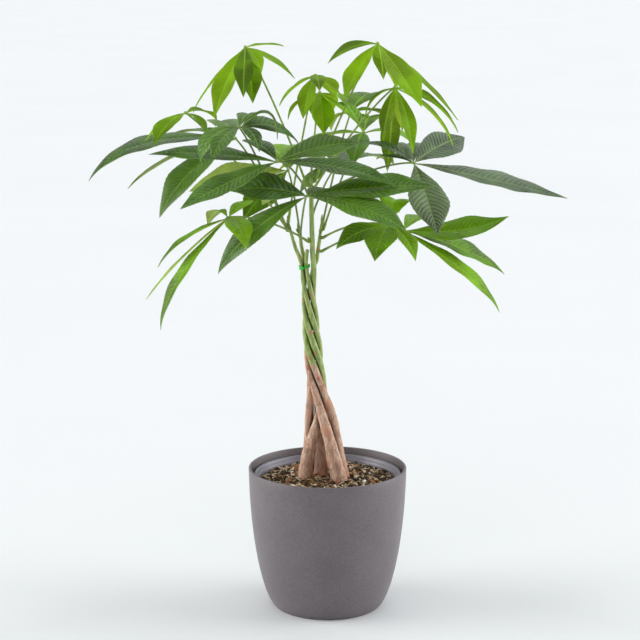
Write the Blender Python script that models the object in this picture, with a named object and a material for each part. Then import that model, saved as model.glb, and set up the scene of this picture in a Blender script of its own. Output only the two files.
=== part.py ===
"""Potted money tree: five stems twisted into one trunk, palmate leaves, a grow pot and a cover pot.

The origin is the centre of the cover pot's foot, +Z is up, and all sizes are in metres.
"""

import math
from collections import namedtuple

import bmesh
import bpy
from mathutils import Matrix, Vector

TURN = math.tau
CLEARANCE = 0.0003
WELD = 0.000001

# Cover pot
POT_HEIGHT = 0.181
POT_RIM_RADIUS = 0.100
POT_FOOT_RADIUS = 0.067
POT_WALL = 0.0032
POT_FLOOR = 0.006
POT_SIDES = 48

# Grow pot, standing on the cover pot's floor
LINER_FOOT = POT_FLOOR + CLEARANCE
LINER_TOP = 0.173
LINER_SKIRT = 0.162
LINER_LIP_RADIUS = 0.0935
LINER_NECK_RADIUS = 0.0872
LINER_FOOT_RADIUS = 0.0620
LINER_WALL = 0.0016
LINER_SIDES = 40
DRAIN_HOLES = 4
DRAIN_RING_RADIUS = 0.040
DRAIN_RADIUS = 0.005

# Potting mix
SOIL_EDGE_HEIGHT = 0.160
SOIL_CROWN_HEIGHT = 0.167
SOCKET_GAP = 0.0013
SOCKET_OVERSHOOT = 0.030

# Trunk: five stems that stand on spread legs and join in a tight twisted ring above them
STEM_FOOT_HEIGHT = 0.130
STEM_BASE_HEIGHT = 0.160
ROPE_TOP_HEIGHT = 0.404
ROPE_STEP = 0.0125
# Height, sideways lean, stem radius and ring radius of the twisted part
TRUNK = [
    (0.228, -0.006, 0.0063, 0.0147),
    (0.279, -0.0125, 0.0045, 0.0088),
    (0.343, -0.019, 0.0040, 0.0078),
    (0.404, -0.0235, 0.0030, 0.0060),
]
# Twist in degrees per metre: slow among the legs, fast in the green wood
SLOW_TWIST = 160
FAST_TWIST = 1900
TWIST_STARTS = 0.240
TWIST_FULL = 0.300

# Legs: where the stems stand below the rope, at even steps of height up to where the rope takes over
LEG_STEP = 0.020
LEGS_END = 0.280
Stem = namedtuple("Stem", "name bearing legs route")
# Bearing: place in the ring before its twist, in degrees. Legs: x, y and radius at each step.
# Route: x, y, z and radius above the rope, up to the cut or growing end.
STEMS = [
    Stem("stem_main", 290, [
        (0.0160, -0.0212, 0.0100),
        (0.0123, -0.0203, 0.0096),
        (0.0073, -0.0186, 0.0086),
        (0.0022, -0.0162, 0.0075),
        (-0.0039, -0.0132, 0.0063),
        (-0.0097, -0.0108, 0.0052),
    ], [
        (-0.0172, -0.0010, 0.421, 0.0032),
        (-0.0173, -0.0035, 0.438, 0.0034),
        (-0.0188, -0.0040, 0.460, 0.0032),
        (-0.0196, -0.0040, 0.490, 0.0030),
        (-0.0202, -0.0040, 0.520, 0.0028),
        (-0.0206, -0.0040, 0.549, 0.0022),
    ]),
    Stem("stem_cut", 218, [
        (-0.0255, 0.0155, 0.0084),
        (-0.0245, 0.0137, 0.0080),
        (-0.0240, 0.0117, 0.0072),
        (-0.0233, 0.0088, 0.0064),
        (-0.0228, 0.0052, 0.0057),
        (-0.0223, 0.0000, 0.0050),
    ], [
        (-0.0236, -0.0042, 0.421, 0.0027),
        (-0.0266, -0.0024, 0.438, 0.0024),
        (-0.0263, -0.0040, 0.452, 0.0025),
        (-0.0250, -0.0060, 0.460, 0.0023),
    ]),
    Stem("stem_left", 146, [
        (-0.0295, -0.0110, 0.0092),
        (-0.0275, -0.0095, 0.0086),
        (-0.0243, -0.0076, 0.0078),
        (-0.0190, -0.0056, 0.0069),
        (-0.0130, -0.0036, 0.0058),
        (-0.0115, 0.0030, 0.0050),
    ], [
        (-0.0305, -0.0030, 0.421, 0.0026),
        (-0.0318, -0.0005, 0.438, 0.0024),
        (-0.0350, -0.0020, 0.450, 0.0026),
        (-0.0395, -0.0020, 0.461, 0.0023),
        (-0.0435, -0.0015, 0.474, 0.0020),
        (-0.0490, 0.0000, 0.494, 0.0015),
    ]),
    Stem("stem_back", 74, [
        (-0.0080, 0.0050, 0.0092),
        (-0.0082, 0.0056, 0.0086),
        (-0.0076, 0.0068, 0.0075),
        (-0.0056, 0.0088, 0.0066),
        (-0.0030, 0.0107, 0.0058),
        (-0.0018, 0.0102, 0.0050),
    ], [
        (-0.0288, 0.0028, 0.421, 0.0026),
        (-0.0276, 0.0030, 0.438, 0.0024),
        (-0.0300, 0.0045, 0.450, 0.0026),
        (-0.0325, 0.0055, 0.462, 0.0023),
        (-0.0340, 0.0060, 0.474, 0.0021),
        (-0.0365, 0.0065, 0.486, 0.0016),
    ]),
    Stem("stem_right", 2, [
        (0.0190, 0.0010, 0.0090),
        (0.0170, -0.0007, 0.0084),
        (0.0138, -0.0022, 0.0074),
        (0.0105, -0.0030, 0.0066),
        (0.0076, -0.0030, 0.0059),
        (0.0022, -0.0032, 0.0052),
    ], [
        (-0.0205, 0.0056, 0.421, 0.0027),
        (-0.0172, 0.0048, 0.438, 0.0026),
        (-0.0136, 0.0045, 0.446, 0.0026),
        (-0.0118, 0.0052, 0.460, 0.0024),
        (-0.0100, 0.0055, 0.472, 0.0022),
        (-0.0075, 0.0045, 0.494, 0.0012),
    ]),
]

# Tie: a band around three of the stems, passing behind the main one
TIE_CENTRE = (-0.0287, 0.0, 0.438)
TIE_RADIUS = 0.0062
TIE_THICKNESS = 0.0008
TIE_WIDTH = 0.0042
TIE_TILT = 8
TIE_SIDES = 24

# Leaves: blades are thin chevrons in section, round one knuckle at the end of a stalk
BLADE_THICKNESS = 0.0011
BLADE_ROOT_WIDTH = 0.0022
BLADE_ROOT_OFFSET = 0.0010
BLADE_TIP_WIDTH = 0.0006
BLADE_FOLD = {"young": 0.20, "mid": 0.12, "mature": 0.08}
BLADE_STATIONS = (0.0, 0.16, 0.40, 0.66, 0.87, 1.0)
STALK_RADIUS = 0.0013
STALK_SIDES = 5
STALK_STATIONS = 5
KNUCKLE_RADIUS = 0.0024

Leaflet = namedtuple("Leaflet", "tip width arch hook roll", defaults=(0, 0))
Leaf = namedtuple("Leaf", "name age root hub leaflets bow", defaults=(0.012,))
# Root: where the stalk leaves its stem. Hub: the knuckle. Tip: a leaflet's tip from the hub.
# Arch: rise of its back over a straight line. Hook: extra droop of the tip. Roll: turn about its rib.
LEAVES = [
    Leaf("leaf_01", "young", (-0.0255, -0.0050, 0.5400), (-0.100, -0.010, 0.710), [
        Leaflet((-0.065, 0.005, -0.080), 0.018, 0.004, 0.3),
        Leaflet((-0.035, -0.065, -0.080), 0.030, 0.007),
        Leaflet((0.000, -0.075, -0.055), 0.024, 0.006),
        Leaflet((0.010, -0.040, -0.065), 0.028, 0.006),
        Leaflet((0.020, -0.020, -0.030), 0.019, 0.005, 0, 8),
        Leaflet((0.060, 0.020, -0.040), 0.024, 0.004, 0, 22),
        Leaflet((0.045, 0.100, -0.005), 0.014, 0.003),
    ]),
    Leaf("leaf_02", "young", (-0.0485, 0.0005, 0.4970), (-0.015, 0.000, 0.675), [
        Leaflet((-0.045, 0.025, -0.040), 0.024, 0.006, 0, 16),
        Leaflet((-0.015, -0.035, -0.050), 0.023, 0.006),
        Leaflet((0.005, -0.055, -0.015), 0.020, 0.006),
        Leaflet((0.035, 0.015, -0.030), 0.026, 0.002, 0, 14),
        Leaflet((0.025, 0.075, -0.035), 0.026, 0.006),
    ]),
    Leaf("leaf_03", "young", (-0.0206, -0.0040, 0.5505), (-0.010, 0.050, 0.650), [
        Leaflet((-0.040, 0.010, -0.035), 0.022, 0.008),
        Leaflet((0.005, -0.025, -0.050), 0.029, 0.006),
        Leaflet((-0.010, -0.025, -0.025), 0.022, 0.006),
        Leaflet((0.055, -0.015, -0.045), 0.022, 0.002),
        Leaflet((0.015, 0.035, -0.030), 0.026, 0.008),
    ]),
    Leaf("leaf_04", "young", (-0.0160, -0.0025, 0.5450), (0.060, -0.020, 0.715), [
        Leaflet((-0.060, 0.010, -0.025), 0.026, 0.007, 0, 24),
        Leaflet((-0.040, -0.040, -0.065), 0.033, 0.006),
        Leaflet((0.050, -0.080, -0.070), 0.040, 0.003),
        Leaflet((0.100, 0.020, -0.095), 0.024, 0.003, 0.5, 18),
        Leaflet((0.025, 0.015, -0.060), 0.024, 0.002),
        Leaflet((0.010, 0.080, -0.050), 0.022, 0.006),
    ]),
    Leaf("leaf_05", "young", (-0.0162, -0.0060, 0.5380), (0.080, -0.055, 0.665), [
        Leaflet((-0.035, 0.000, -0.040), 0.020, 0.010),
        Leaflet((-0.015, -0.040, -0.060), 0.018, 0.006),
        Leaflet((-0.005, 0.105, -0.115), 0.024, 0.002),
        Leaflet((0.010, 0.020, -0.055), 0.016, 0.002),
        Leaflet((0.020, -0.045, -0.075), 0.019, 0.009),
        Leaflet((0.080, 0.050, -0.060), 0.034, 0.012, 0, 28),
        Leaflet((0.070, -0.010, -0.070), 0.026, 0.010),
    ]),
    Leaf("leaf_06", "young", (-0.0526, -0.0010, 0.4900), (-0.170, -0.060, 0.635), [
        Leaflet((-0.050, 0.010, -0.035), 0.020, 0.004),
        Leaflet((-0.035, -0.040, -0.035), 0.030, 0.007),
        Leaflet((0.025, -0.010, -0.025), 0.022, 0.006),
        Leaflet((0.035, 0.050, -0.015), 0.024, 0.008, 0, 12),
        Leaflet((-0.030, 0.060, -0.030), 0.020, 0.004),
    ]),
    Leaf("leaf_07", "mature", (-0.0500, -0.0040, 0.4840), (-0.105, -0.085, 0.620), [
        Leaflet((-0.045, -0.020, -0.040), 0.036, 0.014, 0, 14),
        Leaflet((-0.030, -0.055, -0.035), 0.025, 0.010, 0, 8),
        Leaflet((0.025, -0.040, -0.025), 0.021, 0.010),
        Leaflet((0.015, 0.070, 0.000), 0.026, 0.012),
        Leaflet((0.045, 0.005, -0.015), 0.026, 0.024, 0.2),
        Leaflet((0.070, 0.045, -0.025), 0.044, 0.012, 0, 24),
    ]),
    Leaf("leaf_08", "mature", (-0.0505, 0.0040, 0.4860), (-0.115, 0.030, 0.595), [
        Leaflet((-0.180, -0.030, -0.050), 0.048, 0.016, 1.0, 12),
        Leaflet((-0.090, -0.070, -0.090), 0.056, 0.013, 0, 4),
        Leaflet((-0.085, 0.080, -0.005), 0.040, 0.008),
        Leaflet((-0.140, 0.050, -0.070), 0.034, 0.012),
        Leaflet((-0.030, 0.100, 0.005), 0.044, 0.012),
    ]),
    Leaf("leaf_09", "mature", (-0.0240, -0.0080, 0.5300), (-0.060, -0.090, 0.580), [
        Leaflet((-0.155, 0.030, 0.005), 0.048, 0.004, 0.3, 14),
        Leaflet((-0.110, -0.085, -0.045), 0.048, 0.003, 0, 10),
        Leaflet((-0.045, 0.085, 0.015), 0.030, 0.008),
        Leaflet((0.140, -0.040, -0.025), 0.048, 0.007, 0.3, 14),
        Leaflet((0.100, 0.060, 0.015), 0.046, 0.006, 0, 24),
    ]),
    Leaf("leaf_10", "mature", (-0.0340, 0.0020, 0.4760), (-0.025, -0.100, 0.540), [
        Leaflet((-0.090, 0.005, 0.005), 0.054, 0.006, 0, 30),
        Leaflet((-0.105, -0.020, -0.090), 0.042, 0.009, 0.4, 28),
        Leaflet((0.150, -0.030, 0.015), 0.050, 0.004, 0.2, 26),
        Leaflet((0.115, -0.080, -0.030), 0.052, 0.009, 0, 14),
        Leaflet((-0.055, 0.065, -0.020), 0.044, 0.008),
        Leaflet((0.040, 0.070, -0.010), 0.042, 0.008),
    ]),
    Leaf("leaf_11", "mature", (-0.0160, -0.0020, 0.5250), (0.105, -0.020, 0.570), [
        Leaflet((0.190, 0.010, -0.045), 0.048, 0.002, -0.2, 18),
        Leaflet((0.025, -0.090, -0.075), 0.050, 0.003),
        Leaflet((0.070, 0.110, 0.020), 0.046, 0.005, 0, 30),
        Leaflet((-0.065, 0.030, 0.020), 0.036, 0.008),
        Leaflet((-0.045, 0.040, 0.000), 0.034, 0.006),
        Leaflet((-0.005, 0.140, 0.005), 0.036, 0.010),
    ]),
    Leaf("leaf_12", "mid", (-0.0076, 0.0050, 0.4565), (0.095, 0.025, 0.480), [
        Leaflet((0.130, -0.015, 0.020), 0.046, -0.009, 0, 28),
        Leaflet((0.130, 0.025, -0.060), 0.044, 0.007, 0.3, 22),
        Leaflet((0.120, -0.025, -0.100), 0.032, 0.006, 1.4, 15),
        Leaflet((0.040, 0.085, 0.000), 0.034, 0.010),
    ]),
    Leaf("leaf_13", "mid", (-0.0060, 0.0030, 0.4740), (0.075, -0.040, 0.495), [
        Leaflet((-0.020, -0.080, -0.030), 0.040, 0.010),
        Leaflet((0.030, -0.050, -0.035), 0.025, 0.010),
        Leaflet((-0.065, -0.020, -0.025), 0.038, 0.008, 0, 22),
        Leaflet((0.015, 0.080, 0.005), 0.042, 0.024, 0, 10),
    ]),
    Leaf("leaf_14", "mid", (-0.0243, -0.0065, 0.4710), (-0.120, -0.070, 0.510), [
        Leaflet((-0.085, -0.005, -0.060), 0.034, 0.007, 0.5),
        Leaflet((-0.105, 0.050, -0.110), 0.022, 0.005, 0, 14),
        Leaflet((-0.080, -0.040, -0.130), 0.027, 0.009, 1.0),
        Leaflet((-0.030, 0.090, -0.025), 0.021, 0.014),
        Leaflet((0.025, -0.085, -0.025), 0.032, 0.012),
        Leaflet((0.030, 0.040, 0.015), 0.024, 0.004),
    ]),
    Leaf("leaf_15", "mid", (-0.0052, 0.0055, 0.4840), (0.045, 0.050, 0.600), [
        Leaflet((-0.025, 0.020, 0.040), 0.024, 0.002),
        Leaflet((0.065, -0.020, -0.015), 0.042, 0.010),
        Leaflet((-0.015, -0.100, -0.030), 0.030, 0.008),
        Leaflet((-0.080, 0.045, -0.020), 0.038, 0.006),
        Leaflet((0.015, 0.100, 0.005), 0.038, 0.012),
    ]),
    Leaf("leaf_16", "mid", (-0.0345, 0.0098, 0.4780), (-0.050, 0.070, 0.550), [
        Leaflet((-0.125, -0.015, -0.025), 0.050, 0.004, 0, -50),
        Leaflet((-0.055, -0.055, -0.055), 0.046, 0.004, 0, 20),
        Leaflet((-0.035, 0.110, 0.015), 0.044, 0.014),
        Leaflet((0.035, 0.090, 0.015), 0.044, 0.014),
    ]),
    Leaf("leaf_17", "mid", (-0.0080, 0.0085, 0.4820), (0.030, 0.110, 0.620), [
        Leaflet((0.035, 0.070, 0.015), 0.046, 0.010),
        Leaflet((-0.025, 0.010, -0.025), 0.040, 0.008),
        Leaflet((-0.035, 0.070, -0.005), 0.036, 0.010),
        Leaflet((0.000, 0.120, 0.005), 0.040, 0.012),
        Leaflet((0.060, 0.050, -0.020), 0.038, 0.010),
    ]),
    Leaf("leaf_18", "mature", (-0.0198, 0.0010, 0.5000), (0.015, 0.130, 0.550), [
        Leaflet((-0.080, 0.060, -0.015), 0.046, 0.010),
        Leaflet((-0.010, 0.140, -0.010), 0.052, 0.014),
        Leaflet((0.075, 0.090, -0.010), 0.050, 0.012),
        Leaflet((0.060, -0.010, -0.045), 0.044, 0.008),
        Leaflet((-0.050, -0.020, -0.035), 0.042, 0.008),
    ]),
]


def bezier(start, pull_start, pull_end, end, step):
    """Point on a cubic curve, step running from 0 to 1."""
    rest = 1 - step
    near = start * rest ** 3 + pull_start * (3 * rest * rest * step)
    return near + pull_end * (3 * rest * step * step) + end * step ** 3


def bezier_slope(start, pull_start, pull_end, end, step):
    """Unit direction of the same curve."""
    rest = 1 - step
    slope = (pull_start - start) * (rest * rest)
    slope += (pull_end - pull_start) * (2 * rest * step)
    slope += (end - pull_end) * (step * step)
    return slope.normalized()


def ease(low, high, value):
    """Smooth ramp from 0 at low to 1 at high."""
    share = min(max((value - low) / (high - low), 0), 1)
    return share * share * (3 - 2 * share)


def material(name, colour, roughness, metallic=0.0):
    made = bpy.data.materials.new(name)
    made.use_nodes = True
    shader = made.node_tree.nodes["Principled BSDF"]
    shader.inputs["Base Color"].default_value = (*colour, 1)
    shader.inputs["Roughness"].default_value = roughness
    shader.inputs["Metallic"].default_value = metallic
    return made


def finish(bm, name, coat, smooth_angle=40):
    """Turns a bmesh into a shaded object with its faces pointing out."""
    bmesh.ops.recalc_face_normals(bm, faces=bm.faces)
    mesh = bpy.data.meshes.new(name)
    bm.to_mesh(mesh)
    bm.free()
    mesh.shade_smooth()
    mesh.set_sharp_from_angle(angle=math.radians(smooth_angle))
    mesh.materials.append(coat)
    made = bpy.data.objects.new(name, mesh)
    bpy.context.scene.collection.objects.link(made)
    return made


def hide_tool(tool):
    tool.hide_render = True
    tool.display_type = "WIRE"


def combine(base, tool, operation, self_crossing=False):
    hide_tool(tool)
    step = base.modifiers.new(operation.title(), "BOOLEAN")
    step.operation = operation
    step.solver = "EXACT"
    step.use_self = self_crossing
    step.object = tool


def turned(name, outline, sides, coat):
    """Spins an outline of (radius, height) points: a loop, or one that starts and ends on the axis."""
    bm = bmesh.new()
    points = [bm.verts.new((radius, 0, height)) for radius, height in outline]
    edges = [bm.edges.new(pair) for pair in zip(points, points[1:])]
    bmesh.ops.spin(bm, geom=points + edges, cent=(0, 0, 0), axis=(0, 0, 1), angle=TURN, steps=sides)
    bmesh.ops.remove_doubles(bm, verts=bm.verts, dist=WELD)
    return finish(bm, name, coat)


def skin(bm, rings):
    """Closes a chain of rings, each with the same number of points, into one solid."""
    loops = [[bm.verts.new(point) for point in ring] for ring in rings]
    for near, far in zip(loops, loops[1:]):
        for i in range(len(near)):
            j = (i + 1) % len(near)
            bm.faces.new((near[i], near[j], far[j], far[i]))
    bm.faces.new(loops[0])
    bm.faces.new(loops[-1])


def tube(name, points, radii, resolution, coat):
    """A smooth round bar along the points, as a bevelled curve with filled caps."""
    curve = bpy.data.curves.new(name, "CURVE")
    curve.dimensions = "3D"
    curve.bevel_depth = 1.0
    curve.bevel_resolution = resolution
    curve.use_fill_caps = True
    spline = curve.splines.new("POLY")
    spline.points.add(len(points) - 1)
    for knot, point, radius in zip(spline.points, points, radii):
        knot.co = (*point, 1)
        knot.radius = radius
    curve.materials.append(coat)
    made = bpy.data.objects.new(name, curve)
    bpy.context.scene.collection.objects.link(made)
    return made


# Pots and soil


def wall_curve(inset, floor, count=7):
    """The cover pot's side from foot to rim, as (radius, height) points."""
    foot = Vector((POT_FOOT_RADIUS - inset * 0.3, floor))
    belly = Vector((POT_FOOT_RADIUS + 0.017 - inset, 0.013 + floor * 0.8))
    shoulder = Vector((POT_RIM_RADIUS - 0.001 - inset, POT_HEIGHT * 0.51))
    rim = Vector((POT_RIM_RADIUS - inset, POT_HEIGHT - 0.001))
    return [bezier(foot, belly, shoulder, rim, i / count) for i in range(count + 1)]


def cover_pot():
    outside = wall_curve(0, 0)
    inside = wall_curve(POT_WALL, POT_FLOOR)
    rim = [
        (POT_RIM_RADIUS - 0.0007, POT_HEIGHT),
        (POT_RIM_RADIUS - POT_WALL + 0.0007, POT_HEIGHT),
    ]
    outline = [(0, 0), *outside, *rim, *reversed(inside), (0, POT_FLOOR)]
    return turned("cover_pot", outline, POT_SIDES, material("cover_pot", (0.19, 0.165, 0.18), 0.5))


def liner_inner_radius(height):
    """Radius of the grow pot's bore at a height."""
    share = (height - LINER_FOOT) / (LINER_SKIRT - LINER_FOOT)
    return LINER_FOOT_RADIUS + (LINER_NECK_RADIUS - LINER_FOOT_RADIUS) * share - LINER_WALL


def grow_pot():
    floor = LINER_FOOT + LINER_WALL
    outline = [
        (0, LINER_FOOT),
        (LINER_FOOT_RADIUS, LINER_FOOT),
        (LINER_NECK_RADIUS, LINER_SKIRT),
        (LINER_LIP_RADIUS - 0.0010, LINER_SKIRT),
        (LINER_LIP_RADIUS, LINER_SKIRT + 0.0015),
        (LINER_LIP_RADIUS, LINER_TOP - 0.0012),
        (LINER_LIP_RADIUS - 0.0012, LINER_TOP),
        (LINER_LIP_RADIUS - 0.0040, LINER_TOP),
        (LINER_LIP_RADIUS - 0.0050, LINER_TOP - 0.0010),
        (LINER_LIP_RADIUS - 0.0056, LINER_TOP - 0.0050),
        (liner_inner_radius(LINER_SKIRT), LINER_SKIRT),
        (liner_inner_radius(floor), floor),
        (0, floor),
    ]
    coat = material("grow_pot", (0.22, 0.21, 0.25), 0.45)
    pot = turned("grow_pot", outline, LINER_SIDES, coat)
    bm = bmesh.new()
    for i in range(DRAIN_HOLES):
        spot = Matrix.Rotation(TURN * i / DRAIN_HOLES, 4, "Z")
        spot @= Matrix.Translation((DRAIN_RING_RADIUS, 0, LINER_FOOT))
        bmesh.ops.create_cone(
            bm, cap_ends=True, segments=8, radius1=DRAIN_RADIUS, radius2=DRAIN_RADIUS,
            depth=LINER_WALL * 4, matrix=spot,
        )
    combine(pot, finish(bm, "drain_cutter", coat), "DIFFERENCE")
    return pot


def soil():
    floor = LINER_FOOT + LINER_WALL + CLEARANCE
    edge = liner_inner_radius(SOIL_EDGE_HEIGHT) - CLEARANCE * 1.5
    foot = liner_inner_radius(floor) - CLEARANCE * 1.5
    rise = SOIL_CROWN_HEIGHT - SOIL_EDGE_HEIGHT
    outline = [
        (0, floor),
        (foot, floor),
        (edge, SOIL_EDGE_HEIGHT),
        (edge * 0.93, SOIL_EDGE_HEIGHT + rise * 0.4),
        (edge * 0.66, SOIL_EDGE_HEIGHT + rise * 0.8),
        (0, SOIL_CROWN_HEIGHT),
    ]
    coat = material("soil", (0.16, 0.10, 0.06), 0.95)
    bed = turned("soil", outline, LINER_SIDES, coat)
    bm = bmesh.new()
    low = STEM_FOOT_HEIGHT - CLEARANCE
    high = SOIL_CROWN_HEIGHT + SOCKET_OVERSHOOT
    for stem in STEMS:
        centre, radius = stem_at(stem, STEM_BASE_HEIGHT)
        radius += SOCKET_GAP
        spot = Matrix.Translation((centre.x, centre.y, (low + high) / 2))
        bmesh.ops.create_cone(
            bm, cap_ends=True, segments=12, radius1=radius, radius2=radius, depth=high - low, matrix=spot,
        )
    combine(bed, finish(bm, "socket_cutter", coat), "DIFFERENCE")
    return bed


# Stems


def trunk_at(height):
    """Lean, stem radius and ring radius at a height, smooth between the listed ones."""
    height = min(max(height, TRUNK[0][0]), TRUNK[-1][0])
    slopes = []
    for i in range(len(TRUNK)):
        low, high = TRUNK[max(i - 1, 0)], TRUNK[min(i + 1, len(TRUNK) - 1)]
        slopes.append([(high[k] - low[k]) / (high[0] - low[0]) for k in (1, 2, 3)])
    for i, (low, high) in enumerate(zip(TRUNK, TRUNK[1:])):
        if height <= high[0]:
            break
    span = high[0] - low[0]
    share = (height - low[0]) / span
    values = []
    for k in (0, 1, 2):
        start, end = low[k + 1], high[k + 1]
        pull_start = start + slopes[i][k] * span / 3
        pull_end = end - slopes[i + 1][k] * span / 3
        values.append(bezier(start, pull_start, pull_end, end, share))
    return values


def twist_at(height):
    """Turn of the ring since the soil, in degrees; it runs clockwise seen from above."""
    steps = 60
    span = (height - STEM_BASE_HEIGHT) / steps
    turn = 0
    for i in range(steps):
        level = STEM_BASE_HEIGHT + span * (i + 0.5)
        turn += (SLOW_TWIST + (FAST_TWIST - SLOW_TWIST) * ease(TWIST_STARTS, TWIST_FULL, level)) * span
    return turn


def ring_at(stem, height):
    """Place and radius of a stem in the ring that the rope is, as x, y and radius."""
    lean, radius, ring = trunk_at(height)
    bearing = math.radians(stem.bearing - twist_at(height))
    return Vector((lean + ring * math.cos(bearing), ring * math.sin(bearing), radius))


def stem_at(stem, height):
    """Centre and radius of a stem inside the trunk: on its leg below, in the ring above."""
    if height >= LEGS_END:
        place = ring_at(stem, height)
    else:
        knots = [Vector(leg) for leg in stem.legs]
        knots = [knots[1], *knots, ring_at(stem, LEGS_END), ring_at(stem, LEGS_END + LEG_STEP)]
        travel = (max(height, STEM_BASE_HEIGHT) - STEM_BASE_HEIGHT) / LEG_STEP
        i = min(int(travel), len(stem.legs) - 1)
        before, start, end, after = knots[i:i + 4]
        place = bezier(start, start + (end - before) / 6, end - (after - start) / 6, end, travel - i)
    return Vector((place.x, place.y, height)), place.z


def stem_path(stem):
    """Points and radii from the buried foot to the top end."""
    base, radius = stem_at(stem, STEM_BASE_HEIGHT)
    points = [Vector((base.x, base.y, STEM_FOOT_HEIGHT))]
    radii = [radius]
    count = round((ROPE_TOP_HEIGHT - STEM_BASE_HEIGHT) / ROPE_STEP)
    for i in range(count + 1):
        height = STEM_BASE_HEIGHT + (ROPE_TOP_HEIGHT - STEM_BASE_HEIGHT) * i / count
        point, radius = stem_at(stem, height)
        points.append(point)
        radii.append(radius)
    points.extend(Vector(knot[:3]) for knot in stem.route)
    radii.extend(knot[3] for knot in stem.route)
    return points, radii


def stems():
    bark = material("stem_bark", (0.22, 0.16, 0.09), 0.7)
    for stem in STEMS:
        points, radii = stem_path(stem)
        tube(stem.name, points, radii, 2, bark)


def stem_tie():
    """A flat ring round three stems, leaning a little to the left."""
    half = TIE_WIDTH / 2
    outline = [
        (TIE_RADIUS, -half),
        (TIE_RADIUS + TIE_THICKNESS, -half),
        (TIE_RADIUS + TIE_THICKNESS, half),
        (TIE_RADIUS, half),
        (TIE_RADIUS, -half),
    ]
    made = turned("stem_tie", outline, TIE_SIDES, material("stem_tie", (0.05, 0.60, 0.08), 0.35))
    made.location = TIE_CENTRE
    made.rotation_euler.y = math.radians(-TIE_TILT)
    return made


# Leaves


def blade_outline(share):
    """Width of a blade along its length: widest past the middle, drawn out to a point."""
    if not 0 < share < 1:
        return 0
    return math.sin(math.pi * share ** 1.2) ** 1.05 * (1 - 0.30 * ease(0.55, 0.92, share))


def blade_curve(hub, leaflet):
    """The four control points of a leaflet's rib, and its level sideways direction."""
    reach = Vector(leaflet.tip)
    along = reach.normalized()
    up = (Vector((0, 0, 1)) - along * along.z).normalized()
    rise = up * (leaflet.arch * 4 / 3)
    start = hub + along * BLADE_ROOT_OFFSET
    points = (start, hub + reach * 0.30 + rise, hub + reach * 0.75 + rise * (1 + leaflet.hook), hub + reach)
    return points, along.cross(up)


def blade(bm, hub, leaflet, fold):
    """One leaflet: a closed strip, raised at both edges and thickest on its rib."""
    curve, level = blade_curve(hub, leaflet)
    roll = math.radians(leaflet.roll) * (1 if leaflet.tip[0] < 0 else -1)
    rings = []
    for station in BLADE_STATIONS:
        spot = bezier(*curve, station)
        along = bezier_slope(*curve, station)
        up = level.cross(along)
        side = level * math.cos(roll) + up * math.sin(roll)
        top = side.cross(along)
        width = max(leaflet.width * blade_outline(station), BLADE_TIP_WIDTH)
        if station == 0:
            width = BLADE_ROOT_WIDTH
        thin = BLADE_THICKNESS * (0.55 if station in (0, 1) else 1) / 2
        lift = top * (fold * width / 2)
        rings.append((
            spot - side * (width / 2) + lift,
            spot - top * thin,
            spot + side * (width / 2) + lift,
            spot + top * thin,
        ))
    skin(bm, rings)


def stalk(name, leaf, coat):
    """The stalk from its stem to the knuckle, as a faceted bar with the knuckle on its end."""
    root, hub = Vector(leaf.root), Vector(leaf.hub)
    reach = hub - root
    rise = Vector((0, 0, leaf.bow))
    curve = (root, root + reach * 0.35 + rise, root + reach * 0.75 + rise, hub)
    bm = bmesh.new()
    rings = []
    for i in range(STALK_STATIONS + 1):
        step = i / STALK_STATIONS
        spot = bezier(*curve, step)
        along = bezier_slope(*curve, step)
        side = along.cross(Vector((0, 1, 0))).normalized()
        across = side.cross(along)
        ring = []
        for k in range(STALK_SIDES):
            angle = TURN * k / STALK_SIDES
            ring.append(spot + (side * math.cos(angle) + across * math.sin(angle)) * STALK_RADIUS)
        rings.append(ring)
    skin(bm, rings)
    bmesh.ops.create_icosphere(
        bm, subdivisions=1, radius=KNUCKLE_RADIUS, matrix=Matrix.Translation(hub),
    )
    return finish(bm, name, coat)


def leaves():
    coats = {
        "young": material("leaf_young", (0.20, 0.38, 0.02), 0.45),
        "mid": material("leaf_mid", (0.09, 0.22, 0.02), 0.4),
        "mature": material("leaf_mature", (0.04, 0.12, 0.015), 0.4),
    }
    for leaf in LEAVES:
        bm = bmesh.new()
        for leaflet in leaf.leaflets:
            blade(bm, Vector(leaf.hub), leaflet, BLADE_FOLD[leaf.age])
        blades = finish(bm, leaf.name, coats[leaf.age])
        combine(blades, stalk(leaf.name + "_stalk", leaf, coats[leaf.age]), "UNION", self_crossing=True)


def main():
    for old in list(bpy.data.objects):
        bpy.data.objects.remove(old)
    cover_pot()
    grow_pot()
    soil()
    stems()
    stem_tie()
    leaves()


if __name__ == "__main__":
    main()
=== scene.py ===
"""Potted money tree, dressed around its CAD frame: canes, leaves, potting mix, two pots and a studio.

Lengths are in metres, but for the tables of stems and leaves, which are in millimetres.
+Z is up, and the front is seen looking along +Y.
"""

import math
import random
from collections import namedtuple

import bmesh
import bpy
from bpy.props import FloatProperty, FloatVectorProperty, IntProperty, PointerProperty
from mathutils import Matrix, Vector, kdtree, noise


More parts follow.
